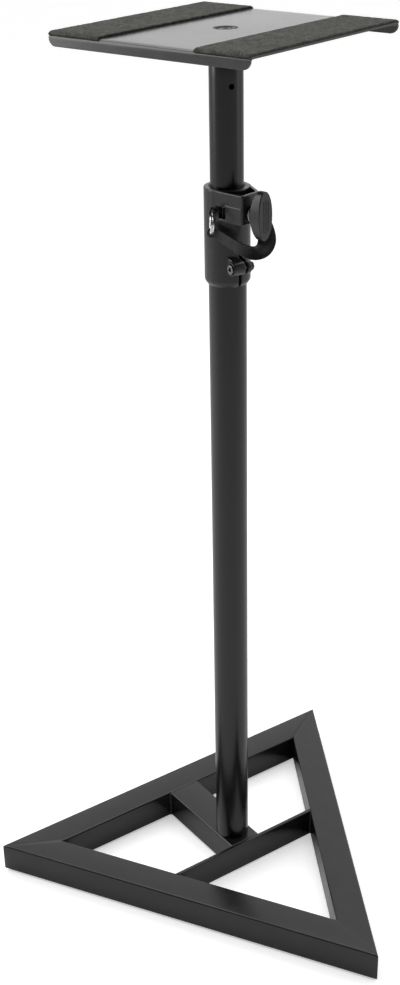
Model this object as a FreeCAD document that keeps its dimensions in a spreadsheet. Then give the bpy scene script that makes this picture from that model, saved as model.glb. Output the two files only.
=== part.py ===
import FreeCAD, Part
import math
import os
import re

import Sketcher

# A height-adjustable speaker stand.  A triangular floor frame of box tube carries a round column
# in two lengths.  The upper length slides and turns in the lower one, under a moulded collar with
# a clamp knob and a locking pin, and carries a square plate with two grip strips.
#
# Millimetres, +Z up.  The origin is on the floor, under the middle of the stand's outline.
# The frame's apex points along +X.  The plate's front flange faces -Y, turned by plate_turn.

Vector = FreeCAD.Vector

driving_sizes = [
    ("side_length", 478.0, "outer length of the frame's left side"),
    ("frame_depth", 403.5, "from the left side to the opposite corner"),
    ("tube_width", 36.0, "box tube, seen from above"),
    ("tube_height", 35.0, "box tube, seen from the side"),
    ("tube_wall", 1.5, "wall of the box tube"),
    ("tube_corner", 2.2, "outer corner radius of the box tube"),
    ("column_setback", 138.2, "from the left side to the column's axis"),
    ("spine_width", 40.6, "box tube under the column"),
    ("bar_setback", 25.8, "from the column's axis to the cross bar"),
    ("bar_thickness", 4.5, "flat cross bar, set on edge"),
    ("pad_height", 2.0, "rubber pad under each corner"),
    ("pad_radius", 13.0, "rubber pad"),
    ("bolt_radius", 5.0, "bolt that holds the column"),
    ("bolt_flats", 17.0, "its head, across the flats"),
    ("bolt_head", 6.4, "its head's height"),
    ("bolt_length", 20.0, "its shank"),
    ("bolt_washer", 2.0, "thickness of its washer"),
    ("access_radius", 12.0, "hole that lets the bolt's head into the spine"),
    ("foot_plug_height", 14.0, "threaded plug in the column's foot"),
    ("lower_radius", 19.05, "lower column, outside"),
    ("column_wall", 1.5, "wall of both columns"),
    ("lower_length", 750.0, "lower column"),
    ("fit_gap", 0.05, "radial gap of a turning or sliding fit"),
    ("loose_gap", 0.3, "gap round a loose piece"),
    ("collar_level", 723.5, "bottom of the collar above the floor"),
    ("collar_height", 97.7, "collar"),
    ("collar_radius", 22.9, "collar, outside"),
    ("collar_turn", 12.0, "direction of the clamp knob, from +X"),
    ("collar_bevel", 3.2, "bevel round the collar's lower edge"),
    ("bush_thickness", 1.4, "plastic bush between the collar and the upper column"),
    ("boss_height", 28.7, "hollow boss at the top of the collar"),
    ("boss_reach", 40.0, "from the column's axis to the boss's end"),
    ("boss_far", 2.4, "far corner of the boss's end"),
    ("boss_wall", 3.0, "wall of the boss"),
    ("panel_start", 18.5, "raised panel on the boss's flat side"),
    ("panel_height", 16.5, "raised panel"),
    ("panel_rise", 0.6, "raised panel"),
    ("window_start", 9.5, "square window in the boss's flat side"),
    ("window_width", 8.6, "square window"),
    ("window_foot", 71.8, "lower edge of the window above the collar's bottom"),
    ("window_height", 11.0, "square window"),
    ("knob_offset", 11.0, "knob's axis beside the column's axis"),
    ("knob_level", 79.2, "knob's axis above the collar's bottom"),
    ("knob_start", 47.0, "from the column's axis to the knob's back"),
    ("knob_depth", 12.0, "knob"),
    ("knob_hub", 2.5, "length of the hub behind the knob"),
    ("knob_hub_radius", 8.0, "hub behind the knob"),
    ("knob_half_width", 13.5, "corner of the oval before its sides are rounded"),
    ("knob_half_height", 31.5, "corner of the oval before its ends are rounded"),
    ("knob_side_radius", 42.0, "long sides of the oval"),
    ("knob_end_radius", 5.0, "ends of the oval"),
    ("knob_edge", 1.2, "rounding round the knob's face"),
    ("groove_width", 1.0, "finger grooves in the knob's face"),
    ("groove_depth", 0.6, "finger grooves"),
    ("groove_length", 22.0, "finger grooves"),
    ("groove_pitch", 3.0, "finger grooves"),
    ("stud_radius", 4.0, "knob's threaded stud"),
    ("stud_start", 21.1, "inner end of the stud"),
    ("stud_end", 57.0, "outer end of the stud, inside the knob"),
    ("stud_nut_flats", 13.0, "nut held in the boss"),
    ("stud_nut_height", 6.5, "nut held in the boss"),
    ("shoe_start", 8.0, "brake shoe, inner edge"),
    ("shoe_end", 27.0, "brake shoe, outer end"),
    ("shoe_width", 11.0, "brake shoe, across"),
    ("shoe_height", 13.0, "brake shoe, along the column"),
    ("shoe_socket", 6.0, "depth of the socket for the stud's end"),
    ("shoe_gap", 0.3, "between the shoe's hollow face and the upper column"),
    ("slit_width", 3.0, "slit that lets the collar's lower part close"),
    ("slit_height", 61.0, "slit"),
    ("clamp_turn", -15.0, "direction of the slit, from the knob's"),
    ("clamp_reach", 28.5, "from the column's axis to the clamp screw"),
    ("clamp_level", 23.0, "clamp screw above the collar's bottom"),
    ("lug_radius", 6.8, "lugs at the slit"),
    ("lug_near", 12.0, "end of the lug under the screw's head"),
    ("lug_far", 6.0, "end of the lug at the nut"),
    ("screw_radius", 2.5, "clamp screw"),
    ("screw_head_radius", 4.4, "clamp screw's head"),
    ("screw_head", 5.0, "clamp screw's head"),
    ("screw_socket", 4.0, "hexagon socket, across the flats"),
    ("screw_nut_flats", 8.0, "clamp screw's nut"),
    ("screw_nut", 4.0, "clamp screw's nut"),
    ("pin_turn", 15.0, "direction of the pin, from square to the boss's flat side"),
    ("pin_level", 78.9, "pin above the collar's bottom"),
    ("pin_radius", 2.25, "locking pin"),
    ("pin_start", 16.9, "tip of the pin, drawn clear of the upper column"),
    ("pin_flange", 24.6, "start of the pin's flange"),
    ("pin_flange_radius", 4.2, "pin's flange"),
    ("pin_eye", 32.9, "middle of the eye at the pin's end"),
    ("pin_eye_radius", 5.2, "eye"),
    ("pin_eye_hole", 3.0, "hole in the eye"),
    ("pin_eye_thickness", 1.8, "eye"),
    ("ring_radius", 9.0, "pull ring, to the middle of its wire"),
    ("ring_wire", 0.9, "radius of the ring's wire"),
    ("ring_slack", 0.7, "play between the ring and the eye"),
    ("ring_turn", -18.0, "direction in which the ring hangs, from +X"),
    ("leash_width", 10.0, "strap between the pin and the knob's stud"),
    ("leash_thickness", 1.8, "strap"),
    ("leash_rim", 2.7, "strap round the holes of its eyelets"),
    ("upper_radius", 16.5, "upper column, outside"),
    ("upper_length", 533.0, "upper column"),
    ("hole_radius", 2.6, "pin holes in the upper column"),
    ("hole_pitch", 115.0, "pin holes"),
    ("hole_count", 5.0, "pin holes"),
    ("hole_turn", -18.0, "direction of the pin holes, from +X"),
    ("glide_shoulder", 12.0, "plastic glide under the upper column"),
    ("glide_spigot", 20.0, "glide, inside the upper column"),
    ("plate_level", 968.0, "top of the plate above the floor"),
    ("plate_turn", 16.0, "plate, from +X"),
    ("plate_width", 230.5, "plate, along its flanges"),
    ("plate_depth", 231.5, "plate, over its flanges"),
    ("sheet", 2.0, "plate's sheet metal"),
    ("bend_radius", 4.5, "outside of the plate's bends"),
    ("flange_drop", 11.0, "plate's front and back flanges"),
    ("flange_corner", 8.0, "lower corners of the flanges"),
    ("dish_radius", 12.0, "dish round the plate's screw"),
    ("dish_depth", 3.5, "dish"),
    ("plate_screw_radius", 4.0, "plate's screw"),
    ("plate_screw_head", 7.6, "radius of its head"),
    ("plate_screw_crown", 2.2, "height of its head"),
    ("plate_screw_length", 26.0, "its shank"),
    ("plate_washer", 0.8, "thickness of its washer"),
    ("top_plug_radius", 32.0, "flange that carries the plate"),
    ("top_plug_flange", 6.0, "flange that carries the plate"),
    ("top_plug_spigot", 24.0, "plug, inside the upper column"),
    ("strip_width", 60.5, "grip strips on the plate"),
    ("strip_thickness", 2.5, "grip strips"),
    ("strip_droop", 50.0, "angle that the strips follow the bends"),
]

document = FreeCAD.newDocument("speaker_stand")
sizes = document.addObject("Spreadsheet::Sheet", "Sizes")
for row, (name, size, note) in enumerate(driving_sizes, start=1):
    sizes.set("A%d" % row, name)
    sizes.set("B%d" % row, str(size))
    sizes.setAlias("B%d" % row, name)
    sizes.set("C%d" % row, note)
document.recompute()
size_names = {name for name, size, note in driving_sizes}

# Lengths and angles that follow from the driving sizes
half_side_corner = "(atan(2 * frame_depth / side_length) / 2)"
half_apex = "(90 deg - atan(2 * frame_depth / side_length))"
slanted_length = "sqrt(frame_depth ^ 2 + side_length ^ 2 / 4)"
plate_reach = "((plate_width * cos(plate_turn) + plate_depth * sin(plate_turn)) / 2)"
column_x = "((%s - (frame_depth - column_setback)) / 2)" % plate_reach
left_edge_x = "(%s - column_setback)" % column_x
apex_x = "(%s + frame_depth)" % left_edge_x
column_foot = "(pad_height + tube_height)"
upper_top = "(plate_level - sheet - top_plug_flange)"
upper_foot = "(%s - upper_length)" % upper_top
boss_foot = "(collar_height - boss_height)"
shoulder_level = "(%s + lower_length - collar_level)" % column_foot
bush_radius = "(upper_radius + fit_gap + bush_thickness)"


def formula(text):
    """Turn the size names in a text into references to their cells."""
    return re.sub(r"[a-z]\w*", lambda word: "Sizes." + word[0] if word[0] in size_names else word[0], text)


def number(text):
    """The number that such a text gives."""
    result = sizes.evalExpression(formula(text))
    return float(getattr(result, "Value", result))


def place(piece, x="0", y="0", level="0", turn="0"):
    """Bind a piece's place to the sheet: its foot point and its turn about +Z."""
    piece.setExpression("Placement.Base.x", formula(x))
    piece.setExpression("Placement.Base.y", formula(y))
    piece.setExpression("Placement.Base.z", formula(level))
    piece.setExpression("Placement.Rotation.Angle", formula(turn))


def new_body(label, x=column_x, y="0", level="0", turn="0"):
    body = document.addObject("PartDesign::Body", label)
    body.Label = label
    place(body, x, y, level, turn)
    return body


def new_sketch(body, plane, lift="0", turn="0"):
    """A sketch on one of the body's own planes, lifted off it and turned about the body's Z."""
    sketch = body.newObject("Sketcher::SketchObject", body.Label + "_sketch")
    support = next(item for item in body.Origin.OriginFeatures if item.Role == plane)
    sketch.AttachmentSupport = [(support, "")]
    sketch.MapMode = "FlatFace"
    level = plane == "XY_Plane"
    upright = Vector(0, 0, 1) if level else Vector(0, 1, 0)
    sketch.AttachmentOffset = FreeCAD.Placement(Vector(), FreeCAD.Rotation(upright, 1))
    sketch.setExpression("AttachmentOffset.Rotation.Angle", formula(turn))
    if level:
        sketch.setExpression("AttachmentOffset.Base.z", formula(lift))
    else:
        sketch.setExpression("AttachmentOffset.Base.x", formula("(%s) * sin(%s)" % (lift, turn)))
        sketch.setExpression("AttachmentOffset.Base.z", formula("(%s) * cos(%s)" % (lift, turn)))
    return sketch


def bind(sketch, kind, references, text):
    """Add a constraint whose size is a formula on the sheet."""
    index = sketch.addConstraint(Sketcher.Constraint(kind, *references, number(text)))
    sketch.setExpression("Constraints[%d]" % index, formula(text))


def draw_circle(sketch, radius, x="0", y="0"):
    centre = Vector(number(x), number(y), 0)
    circle = sketch.addGeometry(Part.Circle(centre, Vector(0, 0, 1), number(radius)))
    bind(sketch, "Radius", (circle,), radius)
    bind(sketch, "DistanceX", (-1, 1, circle, 3), x)
    bind(sketch, "DistanceY", (-1, 1, circle, 3), y)


def draw_outline(sketch, corners):
    """A closed outline through corners (x, y) or (x, y, radius), the last kind rounded."""
    points = [Vector(number(corner[0]), number(corner[1]), 0) for corner in corners]
    radii = [number(corner[2]) if len(corner) == 3 else 0.0 for corner in corners]
    arrivals, departures, middles = [], [], []
    for i, point in enumerate(points):
        back = (points[i - 1] - point).normalize()
        ahead = (points[(i + 1) % len(points)] - point).normalize()
        half_angle = back.getAngle(ahead) / 2
        arrivals.append(point + back * (radii[i] / math.tan(half_angle)))
        departures.append(point + ahead * (radii[i] / math.tan(half_angle)))
        middles.append(point + (back + ahead).normalize() * (radii[i] / math.sin(half_angle)))
    following = arrivals[1:] + arrivals[:1]
    lines = [sketch.addGeometry(Part.LineSegment(*ends)) for ends in zip(departures, following)]
    for i, corner in enumerate(corners):
        before, after = lines[i - 1], lines[i]
        if radii[i]:
            round_corner(sketch, before, after, arrivals[i], departures[i], middles[i], corner[2])
            place_point = (sketch.addGeometry(Part.Point(points[i]), True), 1)
            for line in (before, after):
                sketch.addConstraint(Sketcher.Constraint("PointOnObject", *place_point, line))
        else:
            sketch.addConstraint(Sketcher.Constraint("Coincident", before, 2, after, 1))
            place_point = (after, 1)
        bind(sketch, "DistanceX", (-1, 1, *place_point), corner[0])
        bind(sketch, "DistanceY", (-1, 1, *place_point), corner[1])


def round_corner(sketch, before, after, arrival, departure, middle, radius):
    """An arc from the end of one line to the start of the next, tangent to both."""
    first, last = arrival - middle, departure - middle
    turns_left = (first.cross(last)).z > 0
    if not turns_left:
        first, last = last, first
    angles = [math.atan2(spoke.y, spoke.x) for spoke in (first, last)]
    circle = Part.Circle(middle, Vector(0, 0, 1), first.Length)
    arc = sketch.addGeometry(Part.ArcOfCircle(circle, *angles))
    near, far = (1, 2) if turns_left else (2, 1)
    sketch.addConstraint(Sketcher.Constraint("Tangent", before, 2, arc, near))
    sketch.addConstraint(Sketcher.Constraint("Tangent", arc, far, after, 1))
    bind(sketch, "Radius", (arc,), radius)


def box(left, foot, right, top, *radius):
    """The corners of a rectangle, rounded where a radius is given."""
    return [(left, foot, *radius), (right, foot, *radius), (right, top, *radius), (left, top, *radius)]


def hexagon(flats, x="0", y="0"):
    """The corners of a hexagon, from its size across the flats."""
    spoke = "%s / sqrt(3)" % flats
    return [("%s + %s * cos(%d)" % (x, spoke, 60 * k), "%s + %s * sin(%d)" % (y, spoke, 60 * k))
            for k in range(6)]


def add_feature(body, kind, sketch, **settings):
    """A pad, pocket, revolution or groove.  Texts are formulas.  It must add or remove material."""
    before = body.Shape.Volume if body.Tip else 0.0
    feature = body.newObject("PartDesign::" + kind, "%s_%s" % (body.Label, kind.lower()))
    feature.Profile = sketch
    for name, setting in settings.items():
        if name in ("Length", "Angle"):
            feature.setExpression(name, formula(setting))
        else:
            setattr(feature, name, setting)
    document.recompute()
    change = feature.Shape.Volume - before
    removes = kind in ("Pocket", "Groove")
    if (change > -0.01) if removes else (change < 0.01):
        raise RuntimeError("%s changes nothing" % feature.Name)
    return feature


def add_turned(body, kind, corners):
    """A revolution or groove about +Z, from corners (radius, level)."""
    sketch = new_sketch(body, "XZ_Plane")
    draw_outline(sketch, corners)
    return add_feature(body, kind, sketch, ReferenceAxis=(sketch, ["V_Axis"]), Angle="360")


def add_rod(body, plane, radius, lift, length, x="0", y="0", **settings):
    """A round pad on a plane."""
    sketch = new_sketch(body, plane, lift)
    draw_circle(sketch, radius, x, y)
    return add_feature(body, "Pad", sketch, Length=length, **settings)


def dress_edges(body, kind, size_name, size, chosen):
    """Fillet or chamfer the edges of the body's tip that a test picks."""
    tip = body.Tip
    names = ["Edge%d" % (i + 1) for i, edge in enumerate(tip.Shape.Edges) if chosen(edge)]
    feature = body.newObject("PartDesign::" + kind, "%s_%s" % (body.Label, kind.lower()))
    feature.Base = (tip, names)
    feature.setExpression(size_name, formula(size))
    document.recompute()
    return feature


def make_side(label, length, left_half, right_half, x, y, turn):
    """One side of the frame: box tube mitred at both ends, outer face along its own X axis."""
    body = new_body(label, x, y, "pad_height", turn)
    section = new_sketch(body, "YZ_Plane")
    draw_outline(section, box("0", "0", "tube_width", "tube_height", "tube_corner"))
    draw_outline(section, box("tube_wall", "tube_wall", "tube_width - tube_wall", "tube_height - tube_wall"))
    add_feature(body, "Pad", section, Length=length, SideType="Symmetric")
    mitres = new_sketch(body, "XY_Plane")
    for sign, half in (("-", left_half), ("", right_half)):
        outer = "%s(%s / 2 + tube_wall / tan(%s))" % (sign, length, half)
        inner = "%s(%s / 2 - (tube_width + tube_wall) / tan(%s))" % (sign, length, half)
        draw_outline(mitres, [(outer, "-tube_wall"), (inner, "tube_width + tube_wall"),
                              (outer, "tube_width + tube_wall")])
    add_feature(body, "Pocket", mitres, SideType="Symmetric", Type="ThroughAll")


def make_frame_sides():
    slanted_x = "(%s + frame_depth / 2)" % left_edge_x
    make_side("base_side_left", "side_length", half_side_corner, half_side_corner, left_edge_x, "0", "-90")
    make_side("base_side_front", slanted_length, half_side_corner, half_apex,
              slanted_x, "-side_length / 4", half_apex)
    make_side("base_side_right", slanted_length, half_apex, half_side_corner,
              slanted_x, "side_length / 4", "180 deg - %s" % half_apex)


def make_spine():
    """Box tube from the left side to the cross bar, with the column's bolt hole."""
    body = new_body("base_spine", level="pad_height")
    section = new_sketch(body, "YZ_Plane", "tube_width - column_setback")
    half = "(spine_width / 2)"
    draw_outline(section, box("-" + half, "0", half, "tube_height", "tube_corner"))
    draw_outline(section, box("tube_wall - " + half, "tube_wall", half + " - tube_wall",
                              "tube_height - tube_wall"))
    add_feature(body, "Pad", section, Length="column_setback - tube_width + bar_setback")
    bolt_hole = new_sketch(body, "XY_Plane")
    draw_circle(bolt_hole, "bolt_radius + loose_gap")
    add_feature(body, "Pocket", bolt_hole, Type="ThroughAll", Reversed=True)
    access = new_sketch(body, "XY_Plane")
    draw_circle(access, "access_radius")
    add_feature(body, "Pocket", access, Length="tube_wall", Reversed=True)


def make_cross_bar():
    """Flat bar on edge between the two slanted sides, its ends cut to meet them."""
    body = new_body("base_cross_bar", level="pad_height")
    inner_half = ("(side_length / 2 * (1 - (%s + column_setback) / frame_depth)"
                  " - tube_width * " + slanted_length + " / frame_depth)")
    near, far = "bar_setback", "(bar_setback + bar_thickness)"
    plan = new_sketch(body, "XY_Plane")
    draw_outline(plan, [(near, "-" + inner_half % near), (far, "-" + inner_half % far),
                        (far, inner_half % far), (near, inner_half % near)])
    add_feature(body, "Pad", plan, Length="tube_height")


def make_foot_pads():
    inset = "tube_width / 2"
    side_y = "(side_length / 2 - %s / tan(%s))" % (inset, half_side_corner)
    corners = {
        "foot_pad_left": ("%s + %s" % (left_edge_x, inset), "-" + side_y),
        "foot_pad_back": ("%s + %s" % (left_edge_x, inset), side_y),
        "foot_pad_front": ("%s - %s / sin(%s)" % (apex_x, inset, half_apex), "0"),
    }
    for label, (x, y) in corners.items():
        body = new_body(label, x, y)
        add_turned(body, "Revolution", [("0", "0"), ("pad_radius - 0.6", "0"), ("pad_radius", "0.6"),
                                        ("pad_radius", "pad_height"), ("0", "pad_height")])


def make_column_foot():
    """Bolt and washer inside the spine, and the threaded plug that they pull down on it."""
    washer_foot = "%s - tube_wall - bolt_washer" % column_foot
    bolt = new_body("column_bolt", level=washer_foot)
    head = new_sketch(bolt, "XY_Plane")
    draw_outline(head, hexagon("bolt_flats"))
    add_feature(bolt, "Pad", head, Length="bolt_head", Reversed=True)
    add_rod(bolt, "XY_Plane", "bolt_radius", "0", "bolt_length")
    washer = new_body("column_washer", level=washer_foot)
    add_turned(washer, "Revolution", box("bolt_radius + loose_gap", "0", "2 * bolt_radius", "bolt_washer"))
    plug = new_body("column_foot_plug", level=column_foot)
    plug_radius = "lower_radius - column_wall - fit_gap"
    add_turned(plug, "Revolution", [
        ("bolt_radius + fit_gap", "0"), (plug_radius, "0"), (plug_radius, "foot_plug_height - 1"),
        (plug_radius + " - 1", "foot_plug_height"), ("bolt_radius + fit_gap", "foot_plug_height")])


def make_lower_column():
    body = new_body("lower_column", level=column_foot)
    section = new_sketch(body, "XY_Plane")
    draw_circle(section, "lower_radius")
    draw_circle(section, "lower_radius - column_wall")
    add_feature(body, "Pad", section, Length="lower_length")


def cut_collar_side(body, plane, draw, lift="0", turn="0", **settings):
    """Cut a drawn opening outwards from a plane through a wall of the collar."""
    sketch = new_sketch(body, plane, lift, turn)
    draw(sketch)
    add_feature(body, "Pocket", sketch, Reversed=True, **settings)


def cut_shoe_window(body):
    """The opening through which the brake shoe reaches the upper column."""
    window = box("-knob_offset - shoe_width / 2 - loose_gap", "knob_level - shoe_height / 2 - loose_gap",
                 "-knob_offset + shoe_width / 2 + loose_gap", "knob_level + shoe_height / 2 + loose_gap")
    cut_collar_side(body, "YZ_Plane", lambda sketch: draw_outline(sketch, window),
                    "shoe_start - 0.5", Length="shoe_end - shoe_start - 2")


def cut_pin_hole(body):
    cut_collar_side(body, "XZ_Plane",
                    lambda sketch: draw_circle(sketch, "pin_radius + fit_gap", "0", "pin_level"),
                    turn="pin_turn", Type="ThroughAll")


def make_collar():
    """Moulded collar: a split clamp below, and above it a hollow boss for the brake."""
    body = new_body("collar_body", level="collar_level", turn="collar_turn")
    tangent_angle = "acos(collar_radius / sqrt(boss_reach ^ 2 + boss_far ^ 2))"
    touch = "(atan(boss_far / boss_reach) + %s)" % tangent_angle
    slope = "(90 deg - %s)" % touch
    boss = new_sketch(body, "XY_Plane", boss_foot)
    draw_outline(boss, [("0", "-collar_radius"), ("boss_reach", "-collar_radius", "1"),
                        ("boss_reach", "boss_far", "2"),
                        ("collar_radius * cos(%s)" % touch, "collar_radius * sin(%s)" % touch),
                        ("0", "0")])
    add_feature(body, "Pad", boss, Length="boss_height")
    inner_end = "(boss_reach - boss_wall)"
    inner_far = "(boss_far + boss_wall * tan(%s) - boss_wall / cos(%s))" % (slope, slope)
    cavity = new_sketch(body, "XY_Plane", "collar_height")
    draw_outline(cavity, [("boss_wall", "boss_wall - collar_radius"),
                          (inner_end, "boss_wall - collar_radius", "1.5"), (inner_end, inner_far, "1.5"),
                          ("boss_wall", "%s + (%s - boss_wall) * tan(%s)" % (inner_far, inner_end, slope))])
    add_feature(body, "Pocket", cavity, Length="boss_height - boss_wall")
    add_turned(body, "Revolution", [
        ("0", "0"), ("collar_radius - collar_bevel", "0"), ("collar_radius", "collar_bevel * 1.5", "1.5"),
        ("collar_radius", "collar_height", "1"), ("0", "collar_height")])
    panel = new_sketch(body, "XZ_Plane", "collar_radius")
    draw_outline(panel, box("panel_start", boss_foot, "boss_reach - 0.8", boss_foot + " + panel_height"))
    add_feature(body, "Pad", panel, Length="panel_rise")
    lugs = new_sketch(body, "XZ_Plane", "lug_near", "clamp_turn")
    draw_outline(lugs, [
        ("collar_radius - 4", "clamp_level - lug_radius - 1.5"),
        ("clamp_reach + lug_radius", "clamp_level - lug_radius", "lug_radius - 0.1"),
        ("clamp_reach + lug_radius", "clamp_level + lug_radius", "lug_radius - 0.1"),
        ("collar_radius - 4", "clamp_level + lug_radius + 3")])
    add_feature(body, "Pad", lugs, Length="lug_near + lug_far", Reversed=True)
    add_turned(body, "Groove", [
        ("0", "-1"), ("lower_radius + fit_gap", "-1"), ("lower_radius + fit_gap", shoulder_level),
        (bush_radius, shoulder_level), (bush_radius, "collar_height + 1"), ("0", "collar_height + 1")])
    slit = box("upper_radius / 2", "-slit_width / 2", "clamp_reach + 2 * lug_radius", "slit_width / 2")
    cut_collar_side(body, "XY_Plane", lambda sketch: draw_outline(sketch, slit), turn="clamp_turn",
                    Length="slit_height")
    cut_collar_side(body, "XZ_Plane",
                    lambda sketch: draw_circle(sketch, "screw_radius + fit_gap", "clamp_reach", "clamp_level"),
                    "-2 * lug_near", "clamp_turn", Type="ThroughAll")
    cut_collar_side(body, "YZ_Plane",
                    lambda sketch: draw_circle(sketch, "stud_radius + loose_gap", "-knob_offset", "knob_level"),
                    "shoe_end", Type="ThroughAll")
    window = box("window_start", "window_foot", "window_start + window_width", "window_foot + window_height")
    cut_collar_side(body, "XZ_Plane", lambda sketch: draw_outline(sketch, window),
                    "upper_radius + 1", Type="ThroughAll")
    cut_shoe_window(body)
    cut_pin_hole(body)


def make_guide_bush():
    """Thin plastic bush between the collar and the upper column."""
    body = new_body("guide_bush", level="collar_level", turn="collar_turn")
    foot = "(%s + 0.5)" % shoulder_level
    add_turned(body, "Revolution", box("upper_radius + fit_gap", foot, bush_radius + " - fit_gap",
                                       "collar_height - 0.4"))
    cut_shoe_window(body)
    cut_pin_hole(body)


def make_clamp_screw():
    """Socket screw and nut that close the slit."""
    screw = new_body("clamp_screw", level="collar_level", turn="collar_turn + clamp_turn")
    add_rod(screw, "XZ_Plane", "screw_head_radius", "lug_near", "screw_head", "clamp_reach", "clamp_level")
    add_rod(screw, "XZ_Plane", "screw_radius", "lug_near", "lug_near + lug_far + screw_nut + 1",
            "clamp_reach", "clamp_level", Reversed=True)
    socket = new_sketch(screw, "XZ_Plane", "lug_near + screw_head")
    draw_outline(socket, hexagon("screw_socket", "clamp_reach", "clamp_level"))
    add_feature(screw, "Pocket", socket, Length="screw_head / 2")
    nut = new_body("clamp_nut", level="collar_level", turn="collar_turn + clamp_turn")
    section = new_sketch(nut, "XZ_Plane", "-lug_far")
    draw_outline(section, hexagon("screw_nut_flats", "clamp_reach", "clamp_level"))
    draw_circle(section, "screw_radius + fit_gap", "clamp_reach", "clamp_level")
    add_feature(nut, "Pad", section, Length="screw_nut", Reversed=True)


def make_brake():
    """Nut held in the boss, the shoe that the stud presses on the column, the stud and the knob."""
    nut = new_body("stud_nut", level="collar_level", turn="collar_turn")
    section = new_sketch(nut, "YZ_Plane", "boss_reach - boss_wall - stud_nut_height")
    draw_outline(section, hexagon("stud_nut_flats", "-knob_offset", "knob_level"))
    draw_circle(section, "stud_radius + fit_gap", "-knob_offset", "knob_level")
    add_feature(nut, "Pad", section, Length="stud_nut_height")
    shoe = new_body("brake_shoe", level="collar_level", turn="collar_turn")
    plan = new_sketch(shoe, "XY_Plane", "knob_level")
    draw_outline(plan, box("shoe_start", "-knob_offset - shoe_width / 2", "shoe_end",
                           "-knob_offset + shoe_width / 2"))
    add_feature(shoe, "Pad", plan, Length="shoe_height", SideType="Symmetric")
    hollow = new_sketch(shoe, "XY_Plane")
    draw_circle(hollow, "upper_radius + shoe_gap")
    add_feature(shoe, "Pocket", hollow, Type="ThroughAll", Reversed=True)
    socket = new_sketch(shoe, "YZ_Plane", "shoe_end")
    draw_circle(socket, "stud_radius + fit_gap", "-knob_offset", "knob_level")
    add_feature(shoe, "Pocket", socket, Length="shoe_socket")
    stud = new_body("knob_stud", level="collar_level", turn="collar_turn")
    add_rod(stud, "YZ_Plane", "stud_radius", "stud_start", "stud_end - stud_start",
            "-knob_offset", "knob_level")
    make_knob()


def make_knob():
    """Oval clamp knob with a hub behind it and grooves in its face."""
    body = new_body("clamp_knob", level="collar_level", turn="collar_turn")
    oval = new_sketch(body, "YZ_Plane", "knob_start")
    draw_outline(oval, [
        ("-knob_offset", "knob_level - knob_half_height", "knob_end_radius"),
        ("-knob_offset + knob_half_width", "knob_level", "knob_side_radius"),
        ("-knob_offset", "knob_level + knob_half_height", "knob_end_radius"),
        ("-knob_offset - knob_half_width", "knob_level", "knob_side_radius")])
    add_feature(body, "Pad", oval, Length="knob_depth")
    face = number("knob_start + knob_depth")
    dress_edges(body, "Fillet", "Radius", "knob_edge", lambda edge: abs(edge.BoundBox.XMin - face) < 1e-6)
    groove = new_sketch(body, "YZ_Plane", "knob_start + knob_depth")
    draw_outline(groove, box("-knob_offset - groove_width / 2 - groove_pitch",
                             "knob_level - groove_length / 2",
                             "-knob_offset + groove_width / 2 - groove_pitch",
                             "knob_level + groove_length / 2"))
    cut = add_feature(body, "Pocket", groove, Length="groove_depth")
    row = body.newObject("PartDesign::LinearPattern", "clamp_knob_grooves")
    row.Originals = [cut]
    row.Direction = (groove, ["H_Axis"])
    row.setExpression("Length", formula("2 * groove_pitch"))
    row.Occurrences = 3
    body.Tip = row
    document.recompute()
    add_rod(body, "YZ_Plane", "knob_hub_radius", "knob_start", "knob_hub", "-knob_offset", "knob_level",
            Reversed=True)
    cut_collar_side(body, "YZ_Plane",
                    lambda sketch: draw_circle(sketch, "stud_radius + 0.02", "-knob_offset", "knob_level"),
                    "knob_start - knob_hub", Length="stud_end - knob_start + knob_hub + 0.2")


def make_pin():
    """Locking pin with a flange and an eye, and the pull ring that hangs in the eye."""
    pin_direction = "collar_turn + pin_turn - 90"
    body = new_body("locking_pin", level="collar_level + pin_level", turn=pin_direction)
    add_rod(body, "YZ_Plane", "pin_radius", "pin_start", "pin_eye - pin_eye_radius + 0.8 - pin_start")
    add_rod(body, "YZ_Plane", "pin_flange_radius", "pin_flange", "0.8")
    eye = new_sketch(body, "XZ_Plane")
    draw_circle(eye, "pin_eye_radius", "pin_eye")
    add_feature(body, "Pad", eye, Length="pin_eye_thickness", SideType="Symmetric")
    eye_hole = new_sketch(body, "XZ_Plane")
    draw_circle(eye_hole, "pin_eye_hole", "pin_eye")
    add_feature(body, "Pocket", eye_hole, SideType="Symmetric", Type="ThroughAll")
    ring = document.addObject("Part::Torus", "pin_ring")
    ring.Label = "pin_ring"
    ring.setExpression("Radius1", formula("ring_radius"))
    ring.setExpression("Radius2", formula("ring_wire"))
    hang = "(pin_eye_hole - ring_wire - ring_slack + ring_radius)"
    ring.Placement = FreeCAD.Placement(
        Vector(number("%s + pin_eye * cos(%s)" % (column_x, pin_direction)),
               number("pin_eye * sin(%s)" % pin_direction),
               number("collar_level + pin_level - %s" % hang)),
        FreeCAD.Rotation(Vector(0, 0, 1), number("ring_turn")) * FreeCAD.Rotation(Vector(1, 0, 0), 90))


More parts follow.
